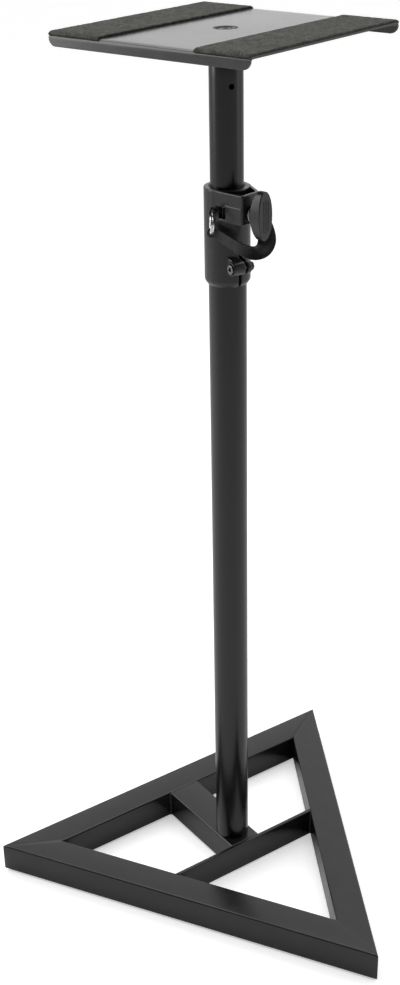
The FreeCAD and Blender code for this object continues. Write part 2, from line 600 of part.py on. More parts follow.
def make_leash():
    """Strap from an eyelet on the pin, under the boss, to an eyelet on the knob's stud."""
    half_width, half_thick = number("leash_width / 2"), number("leash_thickness / 2")
    upright = Vector(0, 0, 1)
    knob_level, pin_level = number("knob_level"), number("pin_level")
    pin_angle = math.radians(number("pin_turn - 90"))
    outward = Vector(math.cos(pin_angle), math.sin(pin_angle), 0)
    stud = Vector(number("boss_reach + 2.3"), -number("knob_offset"), knob_level)
    pin = outward * number("pin_flange + 2") + upright * pin_level
    # middle of the strap, and the direction of its width
    stations = [
        (stud + Vector(0, 5.5, -2), Vector(0, 0.45, 1)),
        (Vector(45, 2.5, knob_level - 9), Vector(0, 0.9, 1)),
        (Vector(52.5, 4.5, knob_level - 19), Vector(0.2, 1, 0.6)),
        (Vector(58, 1, knob_level - 29), Vector(0.5, 1, 0.5)),
        (Vector(58, -9, knob_level - 36), Vector(0.8, 0.5, 0.6)),
        (Vector(50, -19, knob_level - 38), Vector(0.5, -0.2, 1)),
        (Vector(36, -25.5, knob_level - 35), upright),
        (Vector(22, -27.5, knob_level - 29), upright),
        (Vector(15.5, -27, knob_level - 20), Vector(0.8, 0, 1)),
        (pin + Vector(7, -1.1, -7), Vector(0.75, 0, 0.65)),
        (pin + Vector(3.4, -0.7, -2.6), Vector(0.62, 0, 0.77)),
    ]
    sections = []
    for i, (middle, width) in enumerate(stations):
        ahead = stations[min(i + 1, len(stations) - 1)][0] - stations[max(i - 1, 0)][0]
        face = ahead.cross(width).normalize() * half_thick
        edge = face.cross(ahead).normalize() * half_width
        corners = [middle + edge + face, middle - edge + face, middle - edge - face, middle + edge - face]
        sections.append(Part.makePolygon(corners + corners[:1]))
    strap = Part.makeLoft(sections, True, True)
    for centre, axis, bore in ((stud, Vector(1, 0, 0), "stud_radius + loose_gap"),
                               (pin, outward, "pin_radius + loose_gap")):
        foot = centre - axis * half_thick
        disc = Part.makeCylinder(number(bore + " + leash_rim"), 2 * half_thick, foot, axis)
        hole = Part.makeCylinder(number(bore), 8 * half_thick, centre - axis * 4 * half_thick, axis)
        strap = strap.fuse(disc).cut(hole)
    leash = document.addObject("Part::Feature", "pin_leash")
    leash.Label = "pin_leash"
    leash.Shape = strap.removeSplitter()
    place(leash, column_x, "0", "collar_level", "collar_turn")


def make_upper_column():
    """Upper column with a row of pin holes through both walls, and the glide under it."""
    body = new_body("upper_column", level=upper_foot, turn="hole_turn")
    section = new_sketch(body, "XY_Plane")
    draw_circle(section, "upper_radius")
    draw_circle(section, "upper_radius - column_wall")
    add_feature(body, "Pad", section, Length="upper_length")
    hole = new_sketch(body, "YZ_Plane")
    lowest = "collar_level + pin_level - (hole_count - 2) * hole_pitch - %s" % upper_foot
    draw_circle(hole, "hole_radius", "0", lowest)
    cut = add_feature(body, "Pocket", hole, SideType="Symmetric", Type="ThroughAll")
    row = body.newObject("PartDesign::LinearPattern", "upper_column_holes")
    row.Originals = [cut]
    row.Direction = (hole, ["V_Axis"])
    row.setExpression("Length", formula("(hole_count - 1) * hole_pitch"))
    row.setExpression("Occurrences", formula("hole_count"))
    body.Tip = row
    glide = new_body("column_glide", level=upper_foot)
    wide = "(lower_radius - column_wall - fit_gap)"
    narrow = "(upper_radius - column_wall - fit_gap)"
    add_turned(glide, "Revolution", [
        ("upper_radius / 2", "-glide_shoulder"), (wide + " - 1", "-glide_shoulder"),
        (wide, "1 - glide_shoulder"), (wide, "0"), (narrow, "0"), (narrow, "glide_spigot - 1"),
        (narrow + " - 1", "glide_spigot"), ("upper_radius / 2", "glide_spigot")])


def make_top_plug():
    """Threaded plug in the upper column's end, with the flange that the plate lies on."""
    body = new_body("top_plug", level=upper_top)
    spigot = "(upper_radius - column_wall - fit_gap)"
    bore = "plate_screw_radius + fit_gap"
    dish_foot = "top_plug_flange - dish_depth - 2 * fit_gap"
    add_turned(body, "Revolution", [
        (bore, "-top_plug_spigot"), (spigot + " - 1", "-top_plug_spigot"), (spigot, "1 - top_plug_spigot"),
        (spigot, "0"), ("top_plug_radius - 1", "0"), ("top_plug_radius", "1"),
        ("top_plug_radius", "top_plug_flange"), ("dish_radius + 3", "top_plug_flange"),
        ("dish_radius + 3", dish_foot), (bore, dish_foot)])


def make_plate():
    """Square sheet with flanges bent down at the front and back, and a dish for the screw."""
    body = new_body("top_plate", level="plate_level", turn="plate_turn")
    half, inner = "(plate_depth / 2)", "(plate_depth / 2 - sheet)"
    section = new_sketch(body, "YZ_Plane")
    draw_outline(section, [
        ("-" + half, "-flange_drop"), ("-" + inner, "-flange_drop"),
        ("-" + inner, "-sheet", "bend_radius - sheet"), (inner, "-sheet", "bend_radius - sheet"),
        (inner, "-flange_drop"), (half, "-flange_drop"), (half, "0", "bend_radius"),
        ("-" + half, "0", "bend_radius")])
    add_feature(body, "Pad", section, Length="plate_width", SideType="Symmetric")
    foot = -number("flange_drop")
    dress_edges(body, "Fillet", "Radius", "flange_corner", lambda edge: (
        edge.BoundBox.XLength < 1e-6 and abs(edge.BoundBox.ZMax - foot) < 1e-6))
    opening = new_sketch(body, "XY_Plane")
    draw_circle(opening, "dish_radius")
    add_feature(body, "Pocket", opening, Type="ThroughAll")
    add_turned(body, "Revolution", [
        ("plate_screw_radius + loose_gap", "-dish_depth"), ("dish_radius - 2", "-dish_depth"),
        ("dish_radius", "-sheet / 2"), ("dish_radius", "0"), ("dish_radius + 2", "0"),
        ("dish_radius + 2", "-sheet"), ("dish_radius", "-dish_depth - sheet"),
        ("plate_screw_radius + loose_gap", "-dish_depth - sheet")])


def make_plate_screw():
    """Button-head screw with a hexagon socket, and its washer, in the plate's dish."""
    washer_top = "plate_level - dish_depth + plate_washer"
    screw = new_body("plate_screw", level=washer_top, turn="plate_turn")
    add_turned(screw, "Revolution", [
        ("0", "-plate_screw_length"), ("plate_screw_radius", "-plate_screw_length"),
        ("plate_screw_radius", "0"), ("plate_screw_head", "0"),
        ("plate_screw_head", "plate_screw_crown", "1.6"), ("0", "plate_screw_crown")])
    socket = new_sketch(screw, "XY_Plane", "plate_screw_crown")
    draw_outline(socket, hexagon("plate_screw_radius * 1.25"))
    add_feature(screw, "Pocket", socket, Length="plate_screw_crown")
    washer = new_body("plate_washer", level="plate_level - dish_depth", turn="plate_turn")
    add_turned(washer, "Revolution", box("plate_screw_radius + loose_gap", "0", "plate_screw_head + 1",
                                         "plate_washer"))


def make_grip_strips():
    """Two soft strips from front to back, their ends drawn down over the bends."""
    bend_start = "(plate_depth / 2 - bend_radius)"
    droop_half = "tan(strip_droop / 2)"
    under, over = "(bend_radius + fit_gap)", "(bend_radius + strip_thickness)"

    def end_points(radius, level):
        reach = "(%s * %s)" % (radius, droop_half)
        knee = "(%s + %s)" % (bend_start, reach)
        tip = "(%s + 1.001 * %s * cos(strip_droop))" % (knee, reach)
        tip_level = "%s - 1.001 * %s * sin(strip_droop)" % (level, reach)
        return knee, tip, tip_level

    under_knee, under_tip, under_tip_level = end_points(under, "0")
    over_knee, over_tip, over_tip_level = end_points(over, "strip_thickness")
    for label, side in (("grip_strip_left", "-"), ("grip_strip_right", "")):
        body = new_body(label, level="plate_level", turn="plate_turn")
        section = new_sketch(body, "YZ_Plane", "%s(plate_width - strip_width) / 2" % side)
        draw_outline(section, [
            ("-" + under_tip, under_tip_level), ("-" + under_knee, "0", under), (under_knee, "0", under),
            (under_tip, under_tip_level), (over_tip, over_tip_level),
            (over_knee, "strip_thickness", over), ("-" + over_knee, "strip_thickness", over),
            ("-" + over_tip, over_tip_level)])
        add_feature(body, "Pad", section, Length="strip_width", SideType="Symmetric")


def check_and_write():
    """Stop on any failed object or faulty shape, then write one file for each piece."""
    document.recompute()
    failed = [item.Name for item in document.Objects if {"Invalid", "Error"} & set(item.State)]
    if failed:
        raise RuntimeError("failed: " + ", ".join(failed))
    pieces = [item for item in document.Objects
              if item.TypeId in ("PartDesign::Body", "Part::Torus", "Part::Feature")]
    for piece in pieces:
        if piece.Shape.isNull() or not piece.Shape.isValid() or len(piece.Shape.Solids) != 1:
            raise RuntimeError(piece.Label + " is not one valid solid")
    os.makedirs("parts", exist_ok=True)
    for piece in pieces:
        piece.Shape.exportStep("parts/%s.step" % piece.Label)
    whole = Part.makeCompound([piece.Shape for piece in pieces]).BoundBox
    print("%d pieces, X %.1f to %.1f, Y %.1f to %.1f, Z %.1f to %.1f"
          % (len(pieces), whole.XMin, whole.XMax, whole.YMin, whole.YMax, whole.ZMin, whole.ZMax))


make_frame_sides()
make_spine()
make_cross_bar()
make_foot_pads()
make_column_foot()
make_lower_column()
make_collar()
make_guide_bush()
make_clamp_screw()
make_brake()
make_pin()
make_leash()
make_upper_column()
make_top_plug()
make_plate()
make_plate_screw()
make_grip_strips()
check_and_write()
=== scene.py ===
import math

import bmesh
import bpy
import numpy as np
from mathutils import Matrix


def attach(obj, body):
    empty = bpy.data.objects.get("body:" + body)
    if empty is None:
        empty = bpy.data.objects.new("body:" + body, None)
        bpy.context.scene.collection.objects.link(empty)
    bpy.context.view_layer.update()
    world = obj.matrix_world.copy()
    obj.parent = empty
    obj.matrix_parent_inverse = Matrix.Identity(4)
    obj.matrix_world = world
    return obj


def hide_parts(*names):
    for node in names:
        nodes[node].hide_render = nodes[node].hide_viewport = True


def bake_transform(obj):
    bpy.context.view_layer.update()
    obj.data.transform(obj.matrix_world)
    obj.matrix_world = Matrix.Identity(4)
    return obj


# Looks for the speaker stand. Lengths are in millimetres up to addPiece, which makes them metres.
# The lamps are placed in metres.

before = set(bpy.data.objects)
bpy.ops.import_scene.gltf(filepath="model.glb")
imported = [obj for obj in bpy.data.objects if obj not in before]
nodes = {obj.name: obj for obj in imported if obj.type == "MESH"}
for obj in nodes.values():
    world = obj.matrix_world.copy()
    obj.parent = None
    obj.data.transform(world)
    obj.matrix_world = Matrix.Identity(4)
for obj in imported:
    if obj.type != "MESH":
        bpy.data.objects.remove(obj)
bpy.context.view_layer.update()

columnX = -61.305       # column's axis, on y = 0
collarFoot = 723.5      # bottom of the collar
collarTurn = 12.0       # way the clamp knob points, in degrees from +X
plateTop = 968.0
plateTurn = 16.0
floorTubeTop = 37.0
rng = np.random.default_rng(7)


# numbers to meshes

def gridQuads(rows, columns, wrapRows=False, wrapColumns=False):
    # every cell of a rows x columns grid as four corner numbers; a wrapped side joins its last line to its first
    r = np.arange(rows if wrapRows else rows - 1)[:, None]
    c = np.arange(columns if wrapColumns else columns - 1)[None, :]
    r2, c2 = (r + 1) % rows, (c + 1) % columns
    return np.stack([r * columns + c, r * columns + c2, r2 * columns + c2, r2 * columns + c], -1).reshape(-1, 4)


def joined(parts):
    # several (points, quads) as one, each part's numbers moved up past the parts before it
    points, quads, start = [], [], 0
    for p, q in parts:
        points.append(p.reshape(-1, 3))
        quads.append(q + start)
        start += p.size // 3
    return np.concatenate(points), np.concatenate(quads)


def turnedAbout(points, degrees, x=0.0, y=0.0, z=0.0):
    # turned about +Z, then moved
    a = math.radians(degrees)
    px, py, pz = points[..., 0], points[..., 1], points[..., 2]
    return np.stack([px * math.cos(a) - py * math.sin(a) + x, px * math.sin(a) + py * math.cos(a) + y, pz + z], -1)


def inCollar(points):
    return turnedAbout(points, collarTurn, columnX, 0.0, collarFoot)


def onPlate(points):
    return turnedAbout(points, plateTurn, columnX, 0.0, plateTop)


def laidAlong(points, origin, axis, side=(0, 0, 1)):
    # a shape made round +Z is laid so that its Z runs along axis, its X near side
    w = np.array(axis, float)
    w /= np.linalg.norm(w)
    u = np.array(side, float) - w * np.dot(side, w)
    u /= np.linalg.norm(u)
    v = np.cross(w, u)
    return np.array(origin, float) + points[..., :1] * u + points[..., 1:2] * v + points[..., 2:3] * w


def smoothStep(t):
    t = np.clip(t, 0, 1)
    return t * t * (3 - 2 * t)


def ringShell(stations, segments=64, closed=False):
    # a profile carried round +Z: station k at angle a is (r cos a, r sin a, level), r a number or a function of a
    a = np.linspace(0, 2 * np.pi, segments, endpoint=False)
    rows = [np.stack([(r(a) if callable(r) else np.full(segments, float(r))) * np.cos(a),
                      (r(a) if callable(r) else np.full(segments, float(r))) * np.sin(a),
                      np.full(segments, float(level))], -1) for r, level in stations]
    return np.stack(rows), gridQuads(len(rows), segments, closed, True)


def rectangleRing(u, halfX, halfY):
    # a rectangle's outline walked anticlockwise, u from -1 to 1 along each side
    sides = [(u, 0 * u - 1), (0 * u + 1, u), (-u, 0 * u + 1), (0 * u - 1, -u)]
    return np.concatenate([np.stack([x * halfX, y * halfY], -1) for x, y in sides])


def hexagonRadius(flats):
    # distance from the middle to a hexagon's side, at any angle
    return lambda a: flats / 2 / np.cos((a + np.pi / 6) % (np.pi / 3) - np.pi / 6)


def addPiece(name, parts, look, body, stands=(), sharp=38, thick=0.0, bevel=0.0, blend=None):
    # the mesh from arrays, walls and rounded rims from modifiers, then shading and the ride
    points, quads = joined(parts)
    mesh = bpy.data.meshes.new(name)
    mesh.vertices.add(len(points))
    mesh.vertices.foreach_set("co", (points * 0.001).astype(np.float32).ravel())
    mesh.loops.add(quads.size)
    mesh.loops.foreach_set("vertex_index", quads.astype(np.int32).ravel())
    mesh.polygons.add(len(quads))
    mesh.polygons.foreach_set("loop_start", np.arange(0, quads.size, 4, dtype=np.int32))
    mesh.update(calc_edges=True)
    mesh.validate()
    work = bmesh.new()
    work.from_mesh(mesh)
    bmesh.ops.remove_doubles(work, verts=work.verts, dist=2e-6)
    bmesh.ops.dissolve_degenerate(work, edges=work.edges, dist=1e-7)
    bmesh.ops.recalc_face_normals(work, faces=work.faces)
    work.to_mesh(mesh)
    work.free()
    piece = bpy.data.objects.new(name, mesh)
    bpy.context.scene.collection.objects.link(piece)
    if thick:
        wall = piece.modifiers.new("wall", "SOLIDIFY")
        wall.thickness, wall.offset, wall.use_even_offset = thick * 0.001, -1, True
    if bevel:
        rim = piece.modifiers.new("rim", "BEVEL")
        rim.width, rim.segments, rim.limit_method, rim.angle_limit = bevel * 0.001, 2, "ANGLE", math.radians(50)
    if thick or bevel:
        finished = bpy.data.meshes.new_from_object(piece.evaluated_get(bpy.context.evaluated_depsgraph_get()))
        piece.modifiers.clear()
        piece.data = mesh = finished
    mesh.shade_smooth()
    mesh.set_sharp_from_angle(angle=math.radians(sharp))
    mesh.materials.clear()
    mesh.materials.append(look)
    if blend:
        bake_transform(piece)
    else:
        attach(piece, body)
    if stands:
        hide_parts(*stands)
    print("made", name, len(mesh.polygons), "faces")
    return piece


# moulded shapes as distance fields

def roundMax(a, b, k):
    # the larger of two distances, their edge rounded over about k
    h = np.clip(0.5 - 0.5 * (b - a) / k, 0, 1)
    return b * (1 - h) + a * h + k * h * (1 - h)


def roundMin(a, b, k):
    return -roundMax(-a, -b, k)


def slabField(v, low, high):
    return np.maximum(low - v, v - high)


def mouldedSurface(field, low, high, pitch):
    # the zero surface of a distance field: one point for each mixed cell, at the mean of its edge crossings,
    # one quad round each lattice edge whose ends differ, then two Newton steps onto the surface
    axes = [np.arange(a, b + pitch, pitch) for a, b in zip(low, high)]
    d = field(*np.meshgrid(*axes, indexing="ij"))
    inside = d < 0
    count = sum(inside[a:a - 1 or None, b:b - 1 or None, c:c - 1 or None].astype(np.int8)
                for a in (0, 1) for b in (0, 1) for c in (0, 1))
    mixed = (count > 0) & (count < 8)
    number = np.full(mixed.shape, -1)
    cells = np.argwhere(mixed)
    number[mixed] = np.arange(len(cells))
    total, crossings = np.zeros((len(cells), 3)), np.zeros((len(cells), 1))
    for axis in range(3):
        for p in (0, 1):
            for q in (0, 1):
                near = np.insert([p, q], axis, 0)
                step = np.eye(3, dtype=int)[axis]
                d0 = d[tuple((cells + near).T)][:, None]
                d1 = d[tuple((cells + near + step).T)][:, None]
                cross = (d0 < 0) != (d1 < 0)
                t = np.where(cross, d0 / np.where(cross, d0 - d1, 1), 0)
                total += np.where(cross, near + t * step, 0)
                crossings += cross
    points = np.array(low) + pitch * (cells + total / crossings)
    quads = []
    for axis in range(3):
        u, v = np.eye(3, dtype=int)[(axis + 1) % 3], np.eye(3, dtype=int)[(axis + 2) % 3]
        first = np.take(inside, range(inside.shape[axis] - 1), axis)
        second = np.take(inside, range(1, inside.shape[axis]), axis)
        edges = np.argwhere(first != second)
        outward = first[tuple(edges.T)]
        ring = np.stack([number[tuple(cell.T)] for cell in (edges - u - v, edges - v, edges, edges - u)], -1)
        quads.append(np.where(outward[:, None], ring, ring[:, ::-1]))
    step = 0.05
    for _ in range(2):
        x, y, z = points.T
        here = field(x, y, z)
        slope = np.stack([field(x + step, y, z) - field(x - step, y, z),
                          field(x, y + step, z) - field(x, y - step, z),
                          field(x, y, z + step) - field(x, y, z - step)], -1) / (2 * step)
        steep = np.maximum((slope ** 2).sum(-1), 0.3)
        points = points - np.clip(here / steep, -pitch / 2, pitch / 2)[:, None] * slope
    return points, np.concatenate(quads)


# finishes

def nodeTree(name):
    look = bpy.data.materials.new(name)
    look.use_nodes = True
    tree = look.node_tree
    tree.nodes.clear()
    out = tree.nodes.new("ShaderNodeOutputMaterial")
    shader = tree.nodes.new("ShaderNodeBsdfPrincipled")
    tree.links.new(shader.outputs[0], out.inputs[0])
    where = tree.nodes.new("ShaderNodeTexCoord").outputs["Object"]
    return look, tree, shader, where


def noise(tree, where, scale, detail=4.0, rough=0.5, stretch=None):
    if stretch:
        mapping = tree.nodes.new("ShaderNodeMapping")
        mapping.inputs["Scale"].default_value = stretch
        tree.links.new(where, mapping.inputs["Vector"])
        where = mapping.outputs[0]
    node = tree.nodes.new("ShaderNodeTexNoise")
    node.inputs["Scale"].default_value = scale
    node.inputs["Detail"].default_value = detail
    node.inputs["Roughness"].default_value = rough
    tree.links.new(where, node.inputs["Vector"])
    return node.outputs["Fac"]


def ranged(tree, value, low, high, toLow, toHigh):
    node = tree.nodes.new("ShaderNodeMapRange")
    for key, number in zip(("From Min", "From Max", "To Min", "To Max"), (low, high, toLow, toHigh)):
        node.inputs[key].default_value = number
    tree.links.new(value, node.inputs["Value"])
    return node.outputs[0]


def mixed(tree, share, first, second):
    node = tree.nodes.new("ShaderNodeMix")
    node.data_type = "RGBA"
    tree.links.new(share, node.inputs["Factor"])
    for socket, colour in ((node.inputs["A"], first), (node.inputs["B"], second)):
        if isinstance(colour, (tuple, list)):
            socket.default_value = (*colour, 1)
        else:
            tree.links.new(colour, socket)
    return node.outputs["Result"]


def bumped(tree, shader, heights):
    # heights: (value, strength, distance in metres), each laid over the one before
    normal = None
    for value, strength, distance in heights:
        node = tree.nodes.new("ShaderNodeBump")
        node.inputs["Strength"].default_value = strength
        node.inputs["Distance"].default_value = distance
        tree.links.new(value, node.inputs["Height"])
        if normal:
            tree.links.new(normal, node.inputs["Normal"])
        normal = node.outputs[0]
    tree.links.new(normal, shader.inputs["Normal"])


def coatedSteel(name, colour, dusty, roughness, grain, grainDepth):
    # baked black powder coat: fine orange-peel, cloudy gloss, a little pale dust in broad patches
    look, tree, shader, where = nodeTree(name)
    cloud = noise(tree, where, 9, 5, 0.55)
    peel = noise(tree, where, grain, 2, 0.5)
    fine = noise(tree, where, grain * 3.1, 2, 0.6)
    dust = ranged(tree, noise(tree, where, 55, 6, 0.7), 0.45, 0.8, 0, 1)
    tree.links.new(mixed(tree, dust, colour, dusty), shader.inputs["Base Color"])
    tree.links.new(ranged(tree, cloud, 0.3, 0.7, *roughness), shader.inputs["Roughness"])
    bumped(tree, shader, [(peel, 0.35, grainDepth), (fine, 0.25, grainDepth * 0.4)])
    return look


def mouldedPlastic(name, colour, roughness, grain):
    # glass-filled nylon: fine spark-eroded grain with faint flow streaks
    look, tree, shader, where = nodeTree(name)
    streak = noise(tree, where, 26, 4, 0.6, stretch=(1, 1, 0.25))
    pebble = noise(tree, where, grain, 3, 0.65)
    tree.links.new(mixed(tree, ranged(tree, streak, 0.3, 0.75, 0, 1), colour, tuple(c * 1.7 for c in colour)),
                   shader.inputs["Base Color"])
    tree.links.new(ranged(tree, pebble, 0.3, 0.7, roughness - 0.07, roughness + 0.08), shader.inputs["Roughness"])
    bumped(tree, shader, [(pebble, 0.3, 0.00007), (streak, 0.08, 0.0002)])
    return look


def foamRubber(name, colour, fleck, roughness):
    # rough closed-cell foam: pits and crumbs of two sizes, pale flecks
    look, tree, shader, where = nodeTree(name)
    cells = tree.nodes.new("ShaderNodeTexVoronoi")
    cells.inputs["Scale"].default_value = 620
    tree.links.new(where, cells.inputs["Vector"])
    crumb = noise(tree, where, 240, 6, 0.75)
    patch = noise(tree, where, 95, 6, 0.75)
    speck = ranged(tree, noise(tree, where, 420, 5, 0.8), 0.5, 0.7, 0, 1)
    dark, light = (tuple(c * share for c in colour) for share in (0.45, 1.7))
    base = mixed(tree, ranged(tree, patch, 0.36, 0.62, 0, 1), dark, light)
    tree.links.new(mixed(tree, speck, base, fleck), shader.inputs["Base Color"])
    shader.inputs["Roughness"].default_value = roughness
    shader.inputs["Specular IOR Level"].default_value = 0.35
    bumped(tree, shader, [(crumb, 0.9, 0.0016), (cells.outputs["Distance"], 0.5, 0.0005)])
    return look


def platedSteel(name, colour, roughness, brushed, metallic=1.0):
    # zinc or wire: drawn marks along the piece, cloudy plating
    look, tree, shader, where = nodeTree(name)
    cloud = noise(tree, where, 140, 4, 0.6)
    drawn = noise(tree, where, 300, 3, 0.6, stretch=(1, 1, 0.08))
    tree.links.new(mixed(tree, ranged(tree, cloud, 0.3, 0.7, 0, 1), colour, tuple(c * 0.72 for c in colour)),
                   shader.inputs["Base Color"])
    tree.links.new(ranged(tree, drawn, 0.3, 0.7, roughness - 0.08, roughness + 0.1), shader.inputs["Roughness"])
    shader.inputs["Metallic"].default_value = metallic
    bumped(tree, shader, [(drawn, brushed, 0.00006)])
    return look


framePaint = coatedSteel("frameCoat", (0.0065, 0.0065, 0.006), (0.014, 0.014, 0.013), (0.15, 0.27), 780, 0.00007)
columnPaint = coatedSteel("columnCoat", (0.0022, 0.0022, 0.0022), (0.005, 0.005, 0.0047), (0.2, 0.29), 900, 0.00005)
platePaint = coatedSteel("plateCoat", (0.055, 0.055, 0.0545), (0.070, 0.070, 0.069), (0.16, 0.23), 850, 0.00005)
weldPaint = coatedSteel("weldCoat", (0.008, 0.008, 0.0075), (0.018, 0.018, 0.017), (0.34, 0.5), 600, 0.00022)
collarPlastic = mouldedPlastic("collarNylon", (0.012, 0.012, 0.0115), 0.27, 1500)
knobPlastic = mouldedPlastic("knobNylon", (0.013, 0.013, 0.0125), 0.3, 1700)
# near-black nylon: partly the bush's own dark tone, partly painted shade for the shadow ring round the tube at the
# collar's top
nylonWithPaintedShade = mouldedPlastic("nylonWithPaintedShade", (0.003, 0.003, 0.003), 0.5, 1400)
padRubber = mouldedPlastic("padRubber", (0.010, 0.010, 0.010), 0.7, 900)
strapRubber = mouldedPlastic("strapRubber", (0.004, 0.004, 0.004), 0.42, 1100)
gripFoam = foamRubber("gripFoam", (0.028, 0.029, 0.024), (0.11, 0.115, 0.095), 0.85)
zinc = platedSteel("zincPlate", (0.62, 0.63, 0.64), 0.34, 0.3)
brightWire = platedSteel("brightWire", (0.86, 0.86, 0.86), 0.2, 0.2)
screwSteel = platedSteel("screwSteel", (0.24, 0.24, 0.245), 0.28, 0.3)
blackSteel = platedSteel("blackOxide", (0.045, 0.045, 0.048), 0.36, 0.3, metallic=0.65)
print("finishes ready")


# floor frame

floorFrame = dict(sideLength=478.0, depth=403.5, width=36.0, height=35.0, wall=1.5, corner=2.2, foot=2.0,
                  columnSetback=138.2, spineWidth=40.6, barSetback=25.8, barThickness=4.5,
                  seamDepth=0.35, seamWidth=0.9)
leftX = columnX - floorFrame["columnSetback"]
apexX = leftX + floorFrame["depth"]
sideCorner = math.atan2(2 * floorFrame["depth"], floorFrame["sideLength"])
halfApex = math.pi / 2 - sideCorner
slantLength = math.hypot(floorFrame["depth"], floorFrame["sideLength"] / 2)


def roundedBox(left, foot, right, top, radius, steps=7):
    # a rectangle's outline with quarter circles at its corners, anticlockwise
    a = np.linspace(0, np.pi / 2, steps)
    corners = [(right - radius, top - radius, 0), (left + radius, top - radius, 1),
               (left + radius, foot + radius, 2), (right - radius, foot + radius, 3)]
    return np.concatenate([np.stack([x + radius * np.cos(a + k * np.pi / 2),
                                     y + radius * np.sin(a + k * np.pi / 2)], -1) for x, y, k in corners])


def mitredTube(length, startHalf, endHalf, f):
    # a box section carried along X between two mitre planes, its ends drawn in to leave a fine seam,
    # then back inside as its inner wall, so the tube is one closed surface
    outer = roundedBox(0, 0, f["width"], f["height"], f["corner"])
    middle = np.array([f["width"] / 2, f["height"] / 2])

    def drawnIn(depth):
        return middle + (outer - middle) * (1 - 2 * depth / f["height"])

    seam, lip, inner = drawnIn(f["seamDepth"]), drawnIn(f["seamDepth"] / 4), drawnIn(f["wall"])
    s = f["seamWidth"] / length
    stations = [(0, seam), (s * 0.35, lip), (s, outer)] + [(t, outer) for t in np.linspace(0.02, 0.98, 25)]
    stations += [(1 - s, outer), (1 - s * 0.35, lip), (1, seam), (1, inner), (0.5, inner), (0, inner)]
    rows = []
    for t, section in stations:
        start = -length / 2 + section[:, 0] / math.tan(startHalf)
        end = length / 2 - section[:, 0] / math.tan(endHalf)
        rows.append(np.stack([start + (end - start) * t, section[:, 0], section[:, 1]], -1))
    return np.stack(rows), gridQuads(len(rows), len(outer), True, True)


def addFloorFrame(f):
    slantX = leftX + f["depth"] / 2
    sides = {"base_side_left": (f["sideLength"], sideCorner / 2, sideCorner / 2, leftX, 0, -90),
             "base_side_front": (slantLength, sideCorner / 2, halfApex, slantX, -f["sideLength"] / 4,
                                 math.degrees(halfApex)),
             "base_side_right": (slantLength, halfApex, sideCorner / 2, slantX, f["sideLength"] / 4,
                                 180 - math.degrees(halfApex))}
    for node, (length, startHalf, endHalf, x, y, turn) in sides.items():
        points, quads = mitredTube(length, startHalf, endHalf, f)
        addPiece("side" + node.split("_")[-1].title(), [(turnedAbout(points, turn, x, y, f["foot"]), quads)],
                 framePaint, "stand", [node], sharp=30)
    half = f["spineWidth"] / 2      # the spine, an unmitred box tube
    start, end = leftX + f["width"], columnX + f["barSetback"]
    outer = roundedBox(-half, 0, half, f["height"], f["corner"])
    inner = outer * [1 - f["wall"] / half, 1 - 2 * f["wall"] / f["height"]] + [0, f["wall"]]
    rows = [(x, outer) for x in np.linspace(start, end, 12)] + [(end, inner), (start, inner)]
    points = np.stack([np.stack([np.full(len(s), x), s[:, 0], s[:, 1] + f["foot"]], -1) for x, s in rows])
    addPiece("spineTube", [(points, gridQuads(len(rows), len(outer), True, True))], framePaint, "stand",
             ["base_spine"], sharp=30)


def barHalf(x):
    # half the gap between the slanted sides' inner faces at x
    share = 1 - (x - leftX) / floorFrame["depth"]
    return (floorFrame["sideLength"] / 2 * share
            - floorFrame["width"] * slantLength / floorFrame["depth"])


def addCrossBar(f):
    # a thin box section carried across, each end following the slanted side that it meets
    near = columnX + f["barSetback"]
    section = roundedBox(near, f["foot"], near + f["barThickness"], f["foot"] + f["height"], 0.7, 4)
    reach = barHalf(section[:, 0])
    shares = np.concatenate([[-1.0, -1.0], np.linspace(-1, 1, 17), [1.0, 1.0]])
    rows = []
    for k, share in enumerate(shares):
        s, r = section, reach
        if k in (0, len(shares) - 1):   # closed to a line at each end
            s = np.stack([np.full(len(section), near + f["barThickness"] / 2), section[:, 1]], -1)
            r = barHalf(s[:, 0])
        rows.append(np.stack([s[:, 0], r * share, s[:, 1]], -1))
    points = np.stack(rows)
    addPiece("crossBar", [(points, gridQuads(len(rows), len(section), False, True))], framePaint, "stand",
             ["base_cross_bar"], sharp=30)


def weldBead(start, end, radius, ripple=0.16, pitch=2.6):
    # a round bead from start to end whose radius swells and falls along it like laid weld metal
    start, end = np.array(start, float), np.array(end, float)
    length = np.linalg.norm(end - start)
    steps = max(int(length / 0.5), 6)
    t = np.linspace(0, 1, steps)
    swell = 1 + ripple * np.abs(np.sin(np.pi * t * length / pitch)) + 0.08 * rng.standard_normal(steps)
    taper = np.sqrt(np.clip(1 - (2 * t - 1) ** 16, 0, 1))
    a = np.linspace(0, 2 * np.pi, 12, endpoint=False)
    r = radius * swell * taper
    level = np.broadcast_to((t * length)[:, None], (steps, 12))
    ring = np.stack([r[:, None] * np.cos(a), r[:, None] * np.sin(a), level], -1)
    side = (0, 0, 1) if abs(end[2] - start[2]) < 1 else (1, 0, 0)
    return laidAlong(ring, start, end - start, side), gridQuads(steps, 12, False, True)


def addWelds(f):
    top, foot = f["foot"] + f["height"], f["foot"] + 0.5
    half = f["spineWidth"] / 2
    joint, bar = leftX + f["width"], columnX + f["barSetback"]
    far = bar + f["barThickness"]
    beads = []
    for y in (-half, half):
        beads.append(weldBead((joint, y, foot), (joint, y, top - 1.5), 2.0))
        beads.append(weldBead((bar, y, foot), (bar, y, top - 1.5), 2.0))
    beads.append(weldBead((joint, 1 - half, top - 0.7), (joint, half - 1, top - 0.7), 1.1, 0.2))
    beads.append(weldBead((bar, 1 - half, top - 0.6), (bar, half - 1, top - 0.6), 1.1, 0.2))
    for x in (bar, far):
        for sign in (-1, 1):
            beads.append(weldBead((x, sign * barHalf(x), foot), (x, sign * barHalf(x), top - 1.2), 1.7))
    addPiece("weldBeads", beads, weldPaint, "stand", sharp=60)


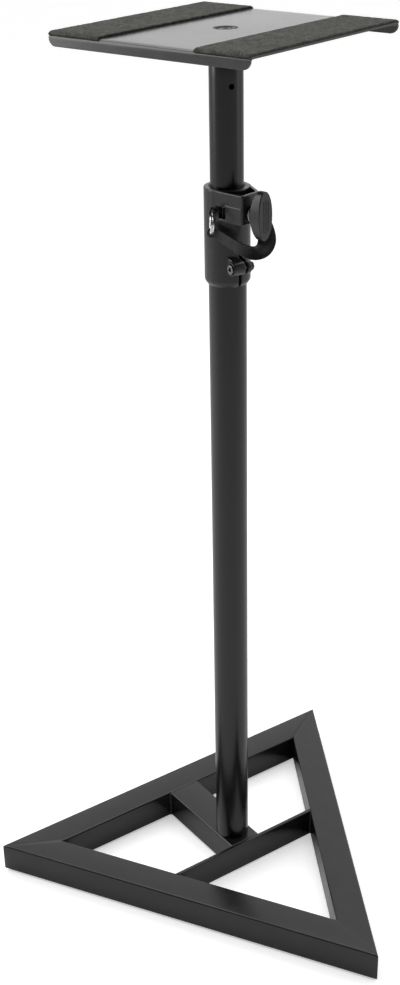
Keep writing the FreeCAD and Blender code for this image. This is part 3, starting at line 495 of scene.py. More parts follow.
def addFootPads(f):
    inset = f["width"] / 2
    sideY = f["sideLength"] / 2 - inset / math.tan(sideCorner / 2)
    places = {"foot_pad_left": (leftX + inset, -sideY), "foot_pad_back": (leftX + inset, sideY),
              "foot_pad_front": (apexX - inset / math.sin(halfApex), 0)}
    profile = [(0, 0.5), (9, 0.5), (9.6, 0), (12.2, 0), (12.8, 0.3), (13, 0.8), (12.7, 1.1), (13, 1.4),
               (13, 2), (0, 2)]
    for node, (x, y) in places.items():
        points, quads = ringShell(profile, 64)
        addPiece("pad" + node.split("_")[-1].title(), [(points + [x, y, 0], quads)], padRubber, "stand",
                 [node])


addFloorFrame(floorFrame)
addCrossBar(floorFrame)
addWelds(floorFrame)
addFootPads(floorFrame)
print("floor frame done")


# columns

columns = dict(lowerRadius=19.05, wall=1.5, lowerLength=750.0, upperRadius=16.5, upperFoot=427.0, upperTop=960.0,
               holeRadius=2.6, holePitch=115.0, holeCount=5, holeTurn=-18.0, lowestHole=457.4)


def addLowerColumn(c):
    r, wall, foot, top = c["lowerRadius"], c["wall"], floorTubeTop, floorTubeTop + c["lowerLength"]
    profile = [(r - 0.4, foot), (r, foot + 0.4)] + [(r, z) for z in np.linspace(foot + 6, top - 6, 40)]
    profile += [(r, top - 0.4), (r - 0.4, top), (r - wall, top), (r - wall, foot)]
    points, quads = ringShell(profile, 144, closed=True)
    addPiece("lowerTube", [(points + [columnX, 0, 0], quads)], columnPaint, "stand", ["lower_column"])


def holedTube(c):
    # the tube unrolled to (way round, level): plain bands, and bands with two square patches whose
    # inner edge is the round hole and whose outer edge meets the grid beside them
    r, n = c["upperRadius"], 96
    levels = [c["lowestHole"] + k * c["holePitch"] for k in range(int(c["holeCount"]))]
    half, rows, side = 8.0, 17, 16

    def wrapped(s, z):
        a = s / r + math.radians(c["holeTurn"])
        return np.stack([r * np.cos(a), r * np.sin(a), z + 0 * a], -1)

    aroundTube = np.arange(n) * 2 * np.pi * r / n
    parts, below = [], c["upperFoot"]
    edge = 2 * np.pi * r / n * side / 2
    for level in levels + [None]:
        above = c["upperTop"] if level is None else level - half
        z = np.linspace(below, above, max(int((above - below) / 12), 2))
        s, zz = np.meshgrid(aroundTube, z)
        parts.append((wrapped(s, zz), gridQuads(len(z), n, False, True)))
        if level is None:
            break
        z = np.linspace(level - half, level + half, rows)
        for start in (0, n // 2):
            between = (start + side / 2 + np.arange(n // 2 - side + 1)) * 2 * np.pi * r / n
            s, zz = np.meshgrid(between, z)
            parts.append((wrapped(s, zz), gridQuads(rows, n // 2 - side + 1)))
            square = rectangleRing(np.linspace(-1, 1, side + 1)[:-1], edge, half)
            a = np.arctan2(square[:, 1] / half, square[:, 0] / edge)
            chord = c["holeRadius"] * np.cos(a)
            circle = np.stack([r * np.arcsin(chord / r), c["holeRadius"] * np.sin(a)], -1)
            w = (np.linspace(0, 1, 9) ** 1.4)[:, None, None]
            plan = circle * (1 - w) + square * w
            parts.append((wrapped(plan[..., 0] + start * 2 * np.pi * r / n, plan[..., 1] + level),
                          gridQuads(9, len(square), False, True)))
        below = level + half
    return parts


def addUpperColumn(c):
    parts = [(p + [columnX, 0, 0], q) for p, q in holedTube(c)]
    addPiece("upperTube", parts, columnPaint, "mast", ["upper_column"], thick=c["wall"], bevel=0.2)


addLowerColumn(columns)
addUpperColumn(columns)
print("columns done")


# collar

collar = dict(height=97.7, radius=22.9, bevel=3.2, bossHeight=28.7, bossReach=40.0, bossFar=2.4, bossWall=3.0,
              panelStart=18.5, panelHeight=16.5, panelRise=0.6, windowStart=9.5, windowWidth=8.6, windowFoot=71.8,
              windowHeight=11.0, knobOffset=11.0, knobLevel=79.2, shoulder=63.5, lowerBore=19.1, upperBore=17.95,
              clampTurn=-15.0, clampReach=28.5, clampLevel=23.0, lugRadius=6.8, lugNear=12.0, lugFar=6.0,
              lugStart=12.0, cupEnd=14.8, cupBore=5.5, screwHole=2.6, slitWidth=3.0, slitHeight=47.0, slitStart=8.0,
              studHole=4.35, studHoleStart=27.0, windowFloor=17.6, shoeStart=7.5, shoeEnd=24.5, shoeHalfWidth=5.8,
              shoeHalfHeight=6.8, pinTurn=-75.0, pinLevel=78.9, pinHole=2.3, edge=1.1,
              low=(-25.03, -26.02, -2.01), high=(42.5, 26.0, 100.0), pitch=0.72)


def collarField(e, n, z):
    # distance to the collar: a bevelled cylinder and a hollow boss joined, lugs added, then every opening taken out
    c, k = collar, collar["edge"]
    rho = np.hypot(e, n)
    slope = math.hypot(c["bevel"], 1.5 * c["bevel"])
    tube = roundMax(rho - c["radius"], slabField(z, 0, c["height"]), k)
    tube = roundMax(tube, ((rho - c["radius"] + c["bevel"]) * 1.5 * c["bevel"] - z * c["bevel"]) / slope, 0.9)
    touch = (math.atan2(c["bossFar"], c["bossReach"])
             + math.acos(c["radius"] / math.hypot(c["bossReach"], c["bossFar"])))
    far = e * math.cos(touch) + n * math.sin(touch) - c["radius"]      # outside the boss's slanted back
    bossFoot = c["height"] - c["bossHeight"]
    plan = roundMax(roundMax(-c["radius"] - n, e - c["bossReach"], 1.6), far, 2.4)
    inner = np.maximum(-e, n * math.cos(touch) - e * math.sin(touch))
    boss = roundMax(np.maximum(plan, inner), slabField(z, bossFoot, c["height"]), k)
    cavity = roundMax(roundMax(plan + c["bossWall"] + 0.6, c["bossWall"] - e, 1.5), bossFoot + c["bossWall"] - z, 1.0)
    whole = roundMin(roundMax(boss, -cavity, 0.8), tube, 0.8)
    panel = np.maximum(slabField(e, c["panelStart"], c["bossReach"] - 0.8),
                       slabField(z, bossFoot + 0.2, bossFoot + c["panelHeight"]))
    panel = roundMax(panel, slabField(n, -c["radius"] - c["panelRise"], -c["radius"] + 2), 0.5)
    whole = roundMin(whole, panel, 0.35)
    a = math.radians(c["clampTurn"])
    ce, cn = e * math.cos(a) + n * math.sin(a), -e * math.sin(a) + n * math.cos(a)
    lowLine = c["clampLevel"] - c["lugRadius"] - 1.5 * (c["clampReach"] - ce) / 12
    topLine = c["clampLevel"] + c["lugRadius"] + 3.0 * (c["clampReach"] - ce) / 12
    lug = np.where(ce > c["clampReach"], np.hypot(ce - c["clampReach"], z - c["clampLevel"]) - c["lugRadius"],
                   np.maximum(lowLine - z, z - topLine))
    lug = roundMax(lug, slabField(cn, -c["lugNear"], c["lugFar"]), 1.0)
    lug = np.maximum(lug, c["lugStart"] - ce)
    whole = roundMin(whole, lug, 1.6)
    around = np.hypot(ce - c["clampReach"], z - c["clampLevel"])
    cup = roundMax(around - c["lugRadius"], slabField(cn, -c["cupEnd"], 0.5 - c["lugNear"]), 0.7)
    whole = roundMin(whole, cup, 0.5)
    whole = roundMax(whole, -np.maximum(around - c["cupBore"], cn + c["lugNear"]), 0.5)
    bore = np.where(z < c["shoulder"], c["lowerBore"], c["upperBore"])
    whole = roundMax(whole, bore - rho, 0.7)
    slit = np.maximum(np.maximum(np.abs(cn) - c["slitWidth"] / 2, c["slitStart"] - ce), z - c["slitHeight"])
    whole = roundMax(whole, -slit, 0.5)
    whole = roundMax(whole, c["screwHole"] - around, 0.3)
    studHole = np.maximum(np.hypot(n + c["knobOffset"], z - c["knobLevel"]) - c["studHole"], c["studHoleStart"] - e)
    whole = roundMax(whole, -studHole, 0.4)
    window = np.maximum(np.maximum(slabField(e, c["windowStart"], c["windowStart"] + c["windowWidth"]),
                                   slabField(z, c["windowFoot"], c["windowFoot"] + c["windowHeight"])),
                        n + c["windowFloor"])
    whole = roundMax(whole, -window, 0.5)
    shoe = np.maximum(np.maximum(np.abs(n + c["knobOffset"]) - c["shoeHalfWidth"],
                                 np.abs(z - c["knobLevel"]) - c["shoeHalfHeight"]),
                      slabField(e, c["shoeStart"], c["shoeEnd"]))
    whole = roundMax(whole, -shoe, 0.4)
    a = math.radians(c["pinTurn"])
    along, beside = e * math.cos(a) + n * math.sin(a), -e * math.sin(a) + n * math.cos(a)
    pinHole = np.maximum(np.hypot(beside, z - c["pinLevel"]) - c["pinHole"], -along)
    return roundMax(whole, -pinHole, 0.4)


def addCollar(c):
    points, quads = mouldedSurface(collarField, c["low"], c["high"], c["pitch"])
    addPiece("collarShell", [(inCollar(points), quads)], collarPlastic, "stand",
             ["collar_body"], sharp=50)


addCollar(collar)
print("collar done")


# clamp screw, nut, stud, knob

hardware = dict(headRadius=4.7, head=4.2, socket=4.0, socketDepth=2.5, shank=2.5, nutFlats=8.0, nut=4.0,
                shoulderRadius=8.6, shoulder=1.0, shoulderGap=3.4,
                studRadius=4.0, studStart=21.1, studEnd=57.0, studPitch=1.25, studDepth=0.55,
                studNutFlats=13.0, studNut=6.5)


def socketHead(radius, height, socket, depth, edge=0.5):
    # a screw head round +Z, its foot at 0: side, rounded rim, face, then down a hexagonal hole to its floor
    hexagon = hexagonRadius(socket)
    rim = [(radius - edge + edge * math.cos(t), height - edge + edge * math.sin(t))
           for t in np.linspace(0, math.pi / 2, 5)]
    return ([(radius - 0.2, 0), (radius, 0.2)] + rim
            + [(lambda a: hexagon(a) + 0.35, height), (lambda a: hexagon(a) + 0.05, height - 0.25),
               (hexagon, height - 0.5), (hexagon, height - depth), (0, height - depth - 0.5)])


def threadedRod(radius, depth, pitch, start, end, steps=7):
    # a rod round +Z whose radius at (angle a, level z) dips by a triangle wave of z / pitch - a / turn
    a = np.linspace(0, 2 * np.pi, 48, endpoint=False)
    z = np.linspace(start, end, int((end - start) / pitch * steps))
    phase = (z[:, None] / pitch - a[None, :] / (2 * np.pi)) % 1
    fade = np.clip(np.minimum(z - start, end - z)[:, None] / 1.0, 0.2, 1)
    r = radius * fade ** 0.12 - depth * np.abs(2 * phase - 1)
    grid = np.stack([r * np.cos(a), r * np.sin(a), z[:, None] + 0 * r], -1)
    low, high = grid[:1] * [0, 0, 1], grid[-1:] * [0, 0, 1]
    grid = np.concatenate([low, grid, high])
    return grid, gridQuads(len(grid), 48, False, True)


def chamferedNut(flats, height, bore):
    # a nut round +Z: hexagonal sides, corners turned off at both faces, a bored hole
    hexagon = hexagonRadius(flats)
    corner = flats / 2 * 1.04
    turned = lambda a: np.minimum(hexagon(a), corner)
    lower = lambda a: np.minimum(hexagon(a), corner + 0.55)
    return [(bore + 0.5, 0), (turned, 0), (lower, 0.35), (hexagon, 0.8), (hexagon, height - 0.8),
            (lower, height - 0.35), (turned, height), (bore + 0.5, height), (bore, height - 0.5), (bore, 0.5)]


def addClampScrew(h, c):
    a = math.radians(c["clampTurn"])
    reach = np.array([math.cos(a), math.sin(a), 0]) * c["clampReach"] + [0, 0, c["clampLevel"]]
    across = np.array([math.sin(a), -math.cos(a), 0])     # towards the screw's head
    head, quads = ringShell(socketHead(h["headRadius"], h["head"], h["socket"], h["socketDepth"]), 72)
    ridges = 0.09 * np.cos(36 * np.arctan2(head[2:4, :, 1], head[2:4, :, 0]))[..., None]
    head[2:4, :, :2] *= 1 - np.abs(ridges) / h["headRadius"]
    shank, shankQuads = threadedRod(h["shank"], 0.25, 0.8, -c["lugNear"] - c["lugFar"] - h["nut"] - 1, 0.1)
    parts = [(laidAlong(head, reach + across * c["lugNear"], across), quads),
             (laidAlong(shank, reach + across * c["lugNear"], across), shankQuads)]
    addPiece("clampBolt", [(inCollar(p), q) for p, q in parts], screwSteel, "stand", ["clamp_screw"],
             sharp=32)
    nut, quads = ringShell(chamferedNut(h["nutFlats"], h["nut"], h["shank"] + 0.05), 72, closed=True)
    addPiece("clampHexNut", [(inCollar(laidAlong(nut, reach - across * c["lugFar"], -across)), quads)], blackSteel,
             "stand", ["clamp_nut"], sharp=28)


def addStud(h, c):
    axis = (1, 0, 0)
    rod, quads = threadedRod(h["studRadius"], h["studDepth"], h["studPitch"], h["studStart"], h["studEnd"])
    r, bore, foot = h["shoulderRadius"], h["studRadius"] - 0.2, c["bossReach"] + h["shoulderGap"]
    top = foot + h["shoulder"]
    ring, ringQuads = ringShell([(bore, foot), (r - 0.3, foot), (r, foot + 0.3), (r, top - 0.3), (r - 0.3, top),
                                 (bore, top)], 96, closed=True)
    parts = [(inCollar(laidAlong(shape, (0, -c["knobOffset"], c["knobLevel"]), axis)), faces)
             for shape, faces in ((rod, quads), (ring, ringQuads))]
    addPiece("knobStud", parts, zinc, "knob", ["knob_stud"], sharp=60)
    nut, quads = ringShell(chamferedNut(h["studNutFlats"], h["studNut"], h["studRadius"] + 0.05), 96, closed=True)
    start = (c["bossReach"] - c["bossWall"] - h["studNut"], -c["knobOffset"], c["knobLevel"])
    addPiece("bossNut", [(inCollar(laidAlong(nut, start, axis, (0, 1, 0))), quads)], zinc, "stand",
             ["stud_nut"], sharp=28)


knob = dict(start=47.0, depth=12.0, hub=2.5, hubRadius=8.0, halfWidth=9.8, halfHeight=23.8, fullness=2.15,
            backSlope=4.0, crown=0.9, edge=0.8, grooveDepth=0.55, grooveLength=33.0, groovePitch=3.2,
            bore=4.02, boreEnd=57.2, low=(43.51, -23.02, 53.03), high=(60.5, 1.1, 105.5), pitch=0.45)


def knobField(e, n, z):
    # distance to the knob: an oval |x / width| ^ p + |y / height| ^ p = 1 given depth, its back drawn in towards
    # both ends and its face crowned, three shallow grooves taken out of the face and a round hub behind
    k, p = knob, knob["fullness"]
    x, y = np.abs(n + collar["knobOffset"]), np.abs(z - collar["knobLevel"])
    across, along = x / k["halfWidth"], y / k["halfHeight"]
    reach = np.maximum((across ** p + along ** p) ** (1 / p), 0.05)
    steep = np.hypot((across / reach) ** (p - 1) / k["halfWidth"], (along / reach) ** (p - 1) / k["halfHeight"])
    oval = (reach - 1) / steep
    back = k["start"] + k["backSlope"] * along ** 2
    face = k["start"] + k["depth"] - k["crown"] * along ** 2
    body = roundMax(roundMax(oval, e - face, k["edge"]), back - e, 1.0)
    for shift in (-1, 0, 1):
        beside = np.abs(n + collar["knobOffset"] - shift * k["groovePitch"])
        groove = roundMax(np.hypot(beside, (e - face) * 1.2) - k["grooveDepth"] * 1.3,
                          y - k["grooveLength"] / 2 + 1.6 * shift ** 2, 0.6)
        body = roundMax(body, -groove, 0.5)
    hub = roundMax(np.hypot(x, y) - k["hubRadius"], slabField(e, k["start"] - k["hub"], k["start"] + 1), 0.6)
    body = roundMin(body, hub, 0.8)
    bore = np.maximum(np.hypot(x, y) - k["bore"], e - k["boreEnd"])
    return roundMax(body, -bore, 0.4)


def addKnob(k):
    points, quads = mouldedSurface(knobField, k["low"], k["high"], k["pitch"])
    addPiece("ovalKnob", [(inCollar(points), quads)], knobPlastic, "knob", ["clamp_knob"], sharp=50)


addClampScrew(hardware, collar)
addStud(hardware, collar)
addKnob(knob)
print("clamp parts done")


# locking pin, ring, strap

pin = dict(radius=2.25, start=16.9, flange=24.6, flangeRadius=4.2, eye=32.9, eyeRadius=5.2, eyeHole=3.0,
           eyeThickness=1.8, ringRadius=9.2, wire=0.95, slack=0.7, ringTurn=-33.0)


def addPin(p, c):
    a = math.radians(c["pinTurn"])
    out = np.array([math.cos(a), math.sin(a), 0])
    origin = (0, 0, c["pinLevel"])
    r, rf, f = p["radius"], p["flangeRadius"], p["flange"]
    profile = [(0, p["start"]), (r - 0.7, p["start"]), (r, p["start"] + 0.9), (r, f), (rf - 0.2, f), (rf, f + 0.2),
               (rf, f + 0.6), (rf - 0.2, f + 0.8), (r, f + 0.8), (r, p["eye"] - p["eyeHole"] - 1.2),
               (0, p["eye"] - p["eyeHole"] - 1.0)]
    rod, quads = ringShell(profile, 48)
    half, edge = p["eyeThickness"] / 2, 0.5
    eyeProfile = [(p["eyeHole"] + edge, -half), (p["eyeRadius"] - edge, -half), (p["eyeRadius"], edge - half),
                  (p["eyeRadius"], half - edge), (p["eyeRadius"] - edge, half), (p["eyeHole"] + edge, half),
                  (p["eyeHole"], half - edge), (p["eyeHole"], edge - half)]
    eye, eyeQuads = ringShell(eyeProfile, 64, closed=True)
    parts = [(laidAlong(rod, origin, out), quads),
             (laidAlong(eye, out * p["eye"] + origin, np.cross(out, (0, 0, 1))), eyeQuads)]
    addPiece("lockPin", [(inCollar(q), w) for q, w in parts], blackSteel, "pin", ["locking_pin"],
             sharp=35)


def ringCentre(p, c):
    way = math.radians(c["pinTurn"])
    hang = p["eyeHole"] - p["wire"] - p["slack"] + p["ringRadius"]
    return np.array([p["eye"] * math.cos(way), p["eye"] * math.sin(way), c["pinLevel"] - hang])


def addPullRing(p, c):
    # a split ring: a wire wound two turns, crossing over from one turn's plane to the other's in a short step,
    # with both of its ends drawn to a rounded point
    u = np.linspace(0, 4 * np.pi, 260)
    v = np.linspace(0, 2 * np.pi, 20, endpoint=False)
    beside = p["wire"] * 1.04 * (2 * smoothStep((u - 2 * np.pi + 0.4) / 0.8) - 1)
    wire = p["wire"] * np.sqrt(np.clip(np.minimum(u, 4 * np.pi - u) / 0.1, 0, 1))
    r = p["ringRadius"] + wire[:, None] * np.cos(v)
    way = (u + 2.4)[:, None]
    coil = np.stack([r * np.cos(way), r * np.sin(way), beside[:, None] + wire[:, None] * np.sin(v)], -1)
    t = math.radians(p["ringTurn"] - collarTurn)
    points = laidAlong(coil, ringCentre(p, c), (-math.sin(t), math.cos(t), 0))
    addPiece("pullRing", [(inCollar(points), gridQuads(len(u), 20, False, True))], brightWire, "pin",
             ["pin_ring"], sharp=60)


strap = dict(thickness=1.8, studBore=4.3, ringBore=2.4, studRim=2.7, ringRim=2.6,
             blendStart=(40.0, -24.0, 50.0), blendEnd=(13.0, -28.0, 50.0))


def smoothPath(stations, steps):
    # a curve through the stations: cubic pieces whose slope at each is half the step between its neighbours
    p = np.concatenate([2 * stations[:1] - stations[1:2], stations, 2 * stations[-1:] - stations[-2:-1]])
    t = np.linspace(0, len(stations) - 1.0001, steps)
    i = t.astype(int)
    f = (t - i)[:, None]
    a, b, c, d = p[i], p[i + 1], p[i + 2], p[i + 3]
    return 0.5 * (2 * b + (c - a) * f + (2 * a - 5 * b + 4 * c - d) * f ** 2 + (3 * b - a - 3 * c + d) * f ** 3)


def addStrap(s, p, c):
    # a flat oval section carried along a curve from the stud, under the knob and the boss, to the foot of the pull
    # ring; each station is a place, the way of the section's width there, and half that width
    stud = np.array([c["bossReach"] + 2.3, -c["knobOffset"], c["knobLevel"]])
    ringFoot = ringCentre(p, c) - [0, 0, p["ringRadius"]]
    stations = [
        (stud + [0, 5.5, -2.2], (0, 0.55, 1), 6.0), ((44.6, 2.6, 69.8), (0.1, 1, 0.45), 7.2),
        ((48.6, 2.6, 60.5), (0.45, 1, 0.15), 8.2), ((51.6, -0.8, 51.5), (0.75, 0.7, 0), 8.8),
        ((53.0, -8.0, 45.5), (0.85, 0.2, -0.6), 8.0), ((49.5, -17.0, 43.4), (0.4, 0, -1), 6.6),
        ((41.0, -24.4, 47.0), (-0.05, 0, -1), 6.1), ((30.0, -26.4, 51.0), (-0.25, 0, -1), 5.8),
        ((19.5, -27.2, 54.8), (-0.25, 0, -1), 5.5), ((13.0, -28.2, 57.6), (-0.1, 0, -1), 5.0),
        (ringFoot + [1.7, 2.0, -0.2], (0, 0, -1), 4.6)]
    steps = 170
    line, wide, half = (smoothPath(np.array([np.array(q[k], float).reshape(-1) for q in stations]), steps)
                        for k in range(3))
    ahead = np.gradient(line, axis=0)
    face = np.cross(ahead, wide)
    face /= np.linalg.norm(face, axis=1, keepdims=True)
    edge = np.cross(face, ahead)
    edge /= np.linalg.norm(edge, axis=1, keepdims=True)
    t = np.linspace(0, 2 * np.pi, 40, endpoint=False)
    across = np.sign(np.cos(t)) * np.abs(np.cos(t)) ** 0.35
    deep = np.sign(np.sin(t)) * np.abs(np.sin(t)) ** 0.55 * s["thickness"] / 2
    rim = 0.85 + 0.25 * smoothStep((np.abs(across) - 0.75) / 0.12)     # raised edge along both sides
    end = np.clip(np.minimum(np.arange(steps), np.arange(steps)[::-1]) / 3, 0, 1)[:, None, None] ** 0.5
    ribbon = (line[:, None] + edge[:, None] * (half * across)[..., None] * (0.55 + 0.45 * end)
              + face[:, None] * (deep * rim)[:, None] * end)
    parts = [(ribbon, gridQuads(steps, len(t), False, True))]
    t = math.radians(p["ringTurn"] - collarTurn)
    for centre, axis, bore, width in ((stud, (1, 0, 0), s["studBore"], s["studRim"]),
                                      (ringFoot, (math.cos(t), math.sin(t), 0), s["ringBore"], s["ringRim"])):
        h, r = s["thickness"] / 2, bore + width
        profile = [(bore, 0.4 - h), (bore + 0.4, -h), (r - 0.5, -h), (r, 0.4 - h), (r, h - 0.4), (r - 0.5, h),
                   (bore + 0.4, h), (bore, h - 0.4)]
        eyelet, quads = ringShell(profile, 56, closed=True)
        parts.append((laidAlong(eyelet, centre, axis), quads))
    start, finish = (tuple(inCollar(np.array(s[key])) * 0.001) for key in ("blendStart", "blendEnd"))
    addPiece("pinStrap", [(inCollar(q), w) for q, w in parts], strapRubber, "stand", ["pin_leash"],
             sharp=50, blend=("pin", start, finish))


addPin(pin, collar)
addPullRing(pin, collar)
addStrap(strap, pin, collar)
print("pin, ring and strap done")


# plate

plate = dict(width=230.5, depth=231.5, sheet=2.0, bend=4.5, drop=11.0, corner=8.0, dish=12.0, dishDepth=3.5,
             dishFoot=9.6, dishTop=12.6, dishRim=13.0, bore=4.3, patch=20.0)


def plateEdge(distance, c):
    # how far the flange reaches past the start of its bend, less where its lower corner is rounded
    u = np.clip(distance, 0, c["corner"])
    drop = c["drop"] - (c["corner"] - np.sqrt(c["corner"] ** 2 - (c["corner"] - u) ** 2))
    arc = c["bend"] * np.arccos(np.clip(1 - drop / c["bend"], -1, 1))
    return np.where(drop < c["bend"], arc, c["bend"] * np.pi / 2 + drop - c["bend"])


def overBend(run, c, lift=0.0):
    # past the bend's start a run along the sheet turns down a quarter circle, then goes straight down
    a = np.clip(run / c["bend"], 0, np.pi / 2)
    straight = np.maximum(run - c["bend"] * np.pi / 2, 0)
    flat = np.minimum(run, 0)
    y = c["depth"] / 2 - c["bend"] + flat + (c["bend"] + lift) * np.sin(a)
    return y, (c["bend"] + lift) * np.cos(a) - c["bend"] - straight


def addPlate(c):
    half, cut = c["width"] / 2, c["patch"]
    ease = (1 - np.cos(np.linspace(0, np.pi / 2, 9))) * c["corner"]
    middle = np.concatenate([np.linspace(-half + c["corner"], -cut, 14), np.linspace(-cut, cut, 17)[1:],
                             np.linspace(cut, half - c["corner"], 14)[1:]])
    x = np.concatenate([-half + ease[:-1], middle, (half - ease[:-1])[::-1]])
    start = c["depth"] / 2 - c["bend"]
    parts = []
    for sign in (-1, 1):
        share = np.linspace(0, 1, 18)[:, None]
        y, z = overBend(share * plateEdge(half - np.abs(x), c)[None, :], c)
        parts.append((np.stack([x[None, :] + 0 * y, sign * y, z], -1), gridQuads(18, len(x))))
        y = np.linspace(cut, start, 12) * sign
        xx, yy = np.meshgrid(x, y)
        parts.append((np.stack([xx, yy, 0 * xx], -1), gridQuads(12, len(x))))
        beside = x[x * sign >= cut - 1e-9]
        xx, yy = np.meshgrid(beside, np.linspace(-cut, cut, 17))
        parts.append((np.stack([xx, yy, 0 * xx], -1), gridQuads(17, len(beside))))
    square = rectangleRing(np.linspace(-1, 1, 17)[:-1], cut, cut)
    a = np.arctan2(square[:, 1], square[:, 0])
    circle = np.stack([np.cos(a), np.sin(a)], -1)
    rings = []
    for r in np.concatenate([[c["bore"]], np.linspace(5.5, 9.2, 3), np.linspace(c["dishFoot"], c["dishTop"], 13),
                             [c["dishRim"]]]):
        level = -c["dishDepth"] * (1 - smoothStep((r - c["dishFoot"]) / (c["dishTop"] - c["dishFoot"])))
        rings.append(np.concatenate([circle * r, np.full((len(a), 1), level)], -1))
    for w in np.linspace(0, 1, 6)[1:]:
        rings.append(np.concatenate([circle * c["dishRim"] * (1 - w) + square * w, np.zeros((len(a), 1))], -1))
    parts.append((np.stack(rings), gridQuads(len(rings), len(a), False, True)))
    addPiece("topPlate", [(onPlate(p), q) for p, q in parts], platePaint, "mast", ["top_plate"],
             thick=c["sheet"], bevel=0.3, sharp=32)


gripStrip = dict(width=60.5, thickness=2.5, droop=50.0, roughness=0.3, deepest=1.6, columns=46, rows=170)


def addGripStrips(g, c):
    # a slab section carried from front to back over both bends, its upper side roughened
    reach = math.radians(g["droop"]) * c["bend"]
    run = np.concatenate([[0, 0.0], np.linspace(0, 1, g["rows"]), [1, 1.0]])
    total = c["depth"] / 2 - c["bend"] + reach
    along = (2 * run - 1) * total
    half, t = g["width"] / 2, g["thickness"]
    a = np.linspace(0, np.pi, 9)
    left = np.stack([-half + 0.9 - 0.9 * np.sin(a), t / 2 + (t / 2) * -np.cos(a)], -1)[::-1]
    right = np.stack([half - 0.9 + 0.9 * np.sin(a), t / 2 - (t / 2) * np.cos(a)], -1)
    across = np.linspace(-half + 0.9, half - 0.9, g["columns"])
    foot = np.stack([across[1:-1], 0 * across[1:-1]], -1)
    top = np.stack([across[::-1][1:-1], t + 0 * across[1:-1]], -1)
    section = np.concatenate([foot, right, top, left])
    for node, sign in (("grip_strip_left", -1), ("grip_strip_right", 1)):
        crumbs = np.random.default_rng(11 + sign).standard_normal((len(run), len(section)))
        for _ in range(2):
            crumbs = (crumbs + np.roll(crumbs, 1, 0) + np.roll(crumbs, 1, 1)) / 2
        pits = g["roughness"] * np.clip(crumbs, -g["deepest"], 0.0) * (section[None, :, 1] > t * 0.9)
        lift = np.clip(section[None, :, 1] + pits, 0, t)
        shrink = np.ones((len(run), 1))
        shrink[[0, -1]] = 0.0
        lift = lift * shrink + (1 - shrink) * t / 2
        x = np.broadcast_to(section[None, :, 0], lift.shape) + sign * (c["width"] - g["width"]) / 2
        past = np.abs(along)[:, None] - (c["depth"] / 2 - c["bend"])
        y, z = overBend(past, c, lift)
        points = np.stack([x, np.sign(along)[:, None] * y, z], -1)
        addPiece("gripStrip" + ("Left" if sign < 0 else "Right"), [(onPlate(points),
                 gridQuads(len(run), len(section), False, True))], gripFoam, "mast", [node], sharp=55)


plateScrew = dict(radius=7.6, crown=2.2, crownRim=4.2, socket=5.0, depth=1.5, shank=4.0, length=26.0,
                  washer=0.8, washerRadius=8.6)


def addPlateScrew(s, c):
    # a button head: its side a quarter ellipse, then the hexagonal hole
    hexagon = hexagonRadius(s["socket"])
    dome = [(s["radius"] - (s["radius"] - s["crownRim"]) * (1 - math.cos(t)), 0.3 + (s["crown"] - 0.3) * math.sin(t))
            for t in np.linspace(0, math.pi / 2, 10)]
    floor = s["crown"] - s["depth"]
    profile = ([(0, -s["length"]), (s["shank"], -s["length"]), (s["shank"], -0.05), (s["radius"] - 0.2, 0)] + dome
               + [(lambda a: hexagon(a) + 0.3, s["crown"]), (hexagon, s["crown"] - 0.3), (hexagon, floor),
                  (0, floor - 0.4)])
    points, quads = ringShell(profile, 72)
    lift = s["washer"] - c["dishDepth"]
    addPiece("plateBolt", [(onPlate(points + [0, 0, lift]), quads)], blackSteel, "mast",
             ["plate_screw"], sharp=32)
    r = s["washerRadius"]
    washer, quads = ringShell([(4.3, 0.15), (4.45, 0), (r - 0.2, 0), (r, 0.2), (r, 0.6), (r - 0.2, 0.8), (4.45, 0.8),
                               (4.3, 0.65)], 72, closed=True)
    addPiece("plateWasherRing", [(onPlate(washer - [0, 0, c["dishDepth"]]), quads)], blackSteel, "mast",
             ["plate_washer"], sharp=32)


topPlug = dict(radius=32.0, flange=6.0, spigot=24.0, bore=4.05)


def addTopPlug(p, c):
    top = plateTop - c["sheet"]
    foot, spigotRadius = top - p["flange"], columns["upperRadius"] - columns["wall"] - 0.05
    r = p["radius"]
    recess = foot + p["flange"] - c["dishDepth"] - 0.1
    rim = [(r - 1 + math.sin(t), foot + 1 - math.cos(t)) for t in np.linspace(0, math.pi / 2, 6)]
    profile = ([(p["bore"], foot - p["spigot"]), (spigotRadius - 1, foot - p["spigot"]),
                (spigotRadius, foot - p["spigot"] + 1), (spigotRadius, foot)]
               + rim + [(r, top - 0.4), (r - 0.4, top), (c["dish"] + 3, top), (c["dish"] + 3, recess),
                        (p["bore"], recess)])
    points, quads = ringShell(profile, 112, closed=True)
    addPiece("topPlugFlange", [(points + [columnX, 0, 0], quads)], columnPaint, "mast", ["top_plug"],
             sharp=32)


addPlate(plate)
addGripStrips(gripStrip, plate)
addPlateScrew(plateScrew, plate)
addTopPlug(topPlug, plate)
print("plate done")


# carried-over nodes

# the guide bush, glide and brake shoe share the near-black nylon, whose colour also holds painted shade for the ring
# round the tube at the collar's top
carried = {"guide_bush": nylonWithPaintedShade, "column_glide": nylonWithPaintedShade, "brake_shoe": nylonWithPaintedShade, "column_bolt": zinc,
           "column_washer": zinc, "column_foot_plug": zinc}
for node, look in carried.items():
    nodes[node].data.materials.clear()
    nodes[node].data.materials.append(look)
print("carried-over nodes painted")


# studio

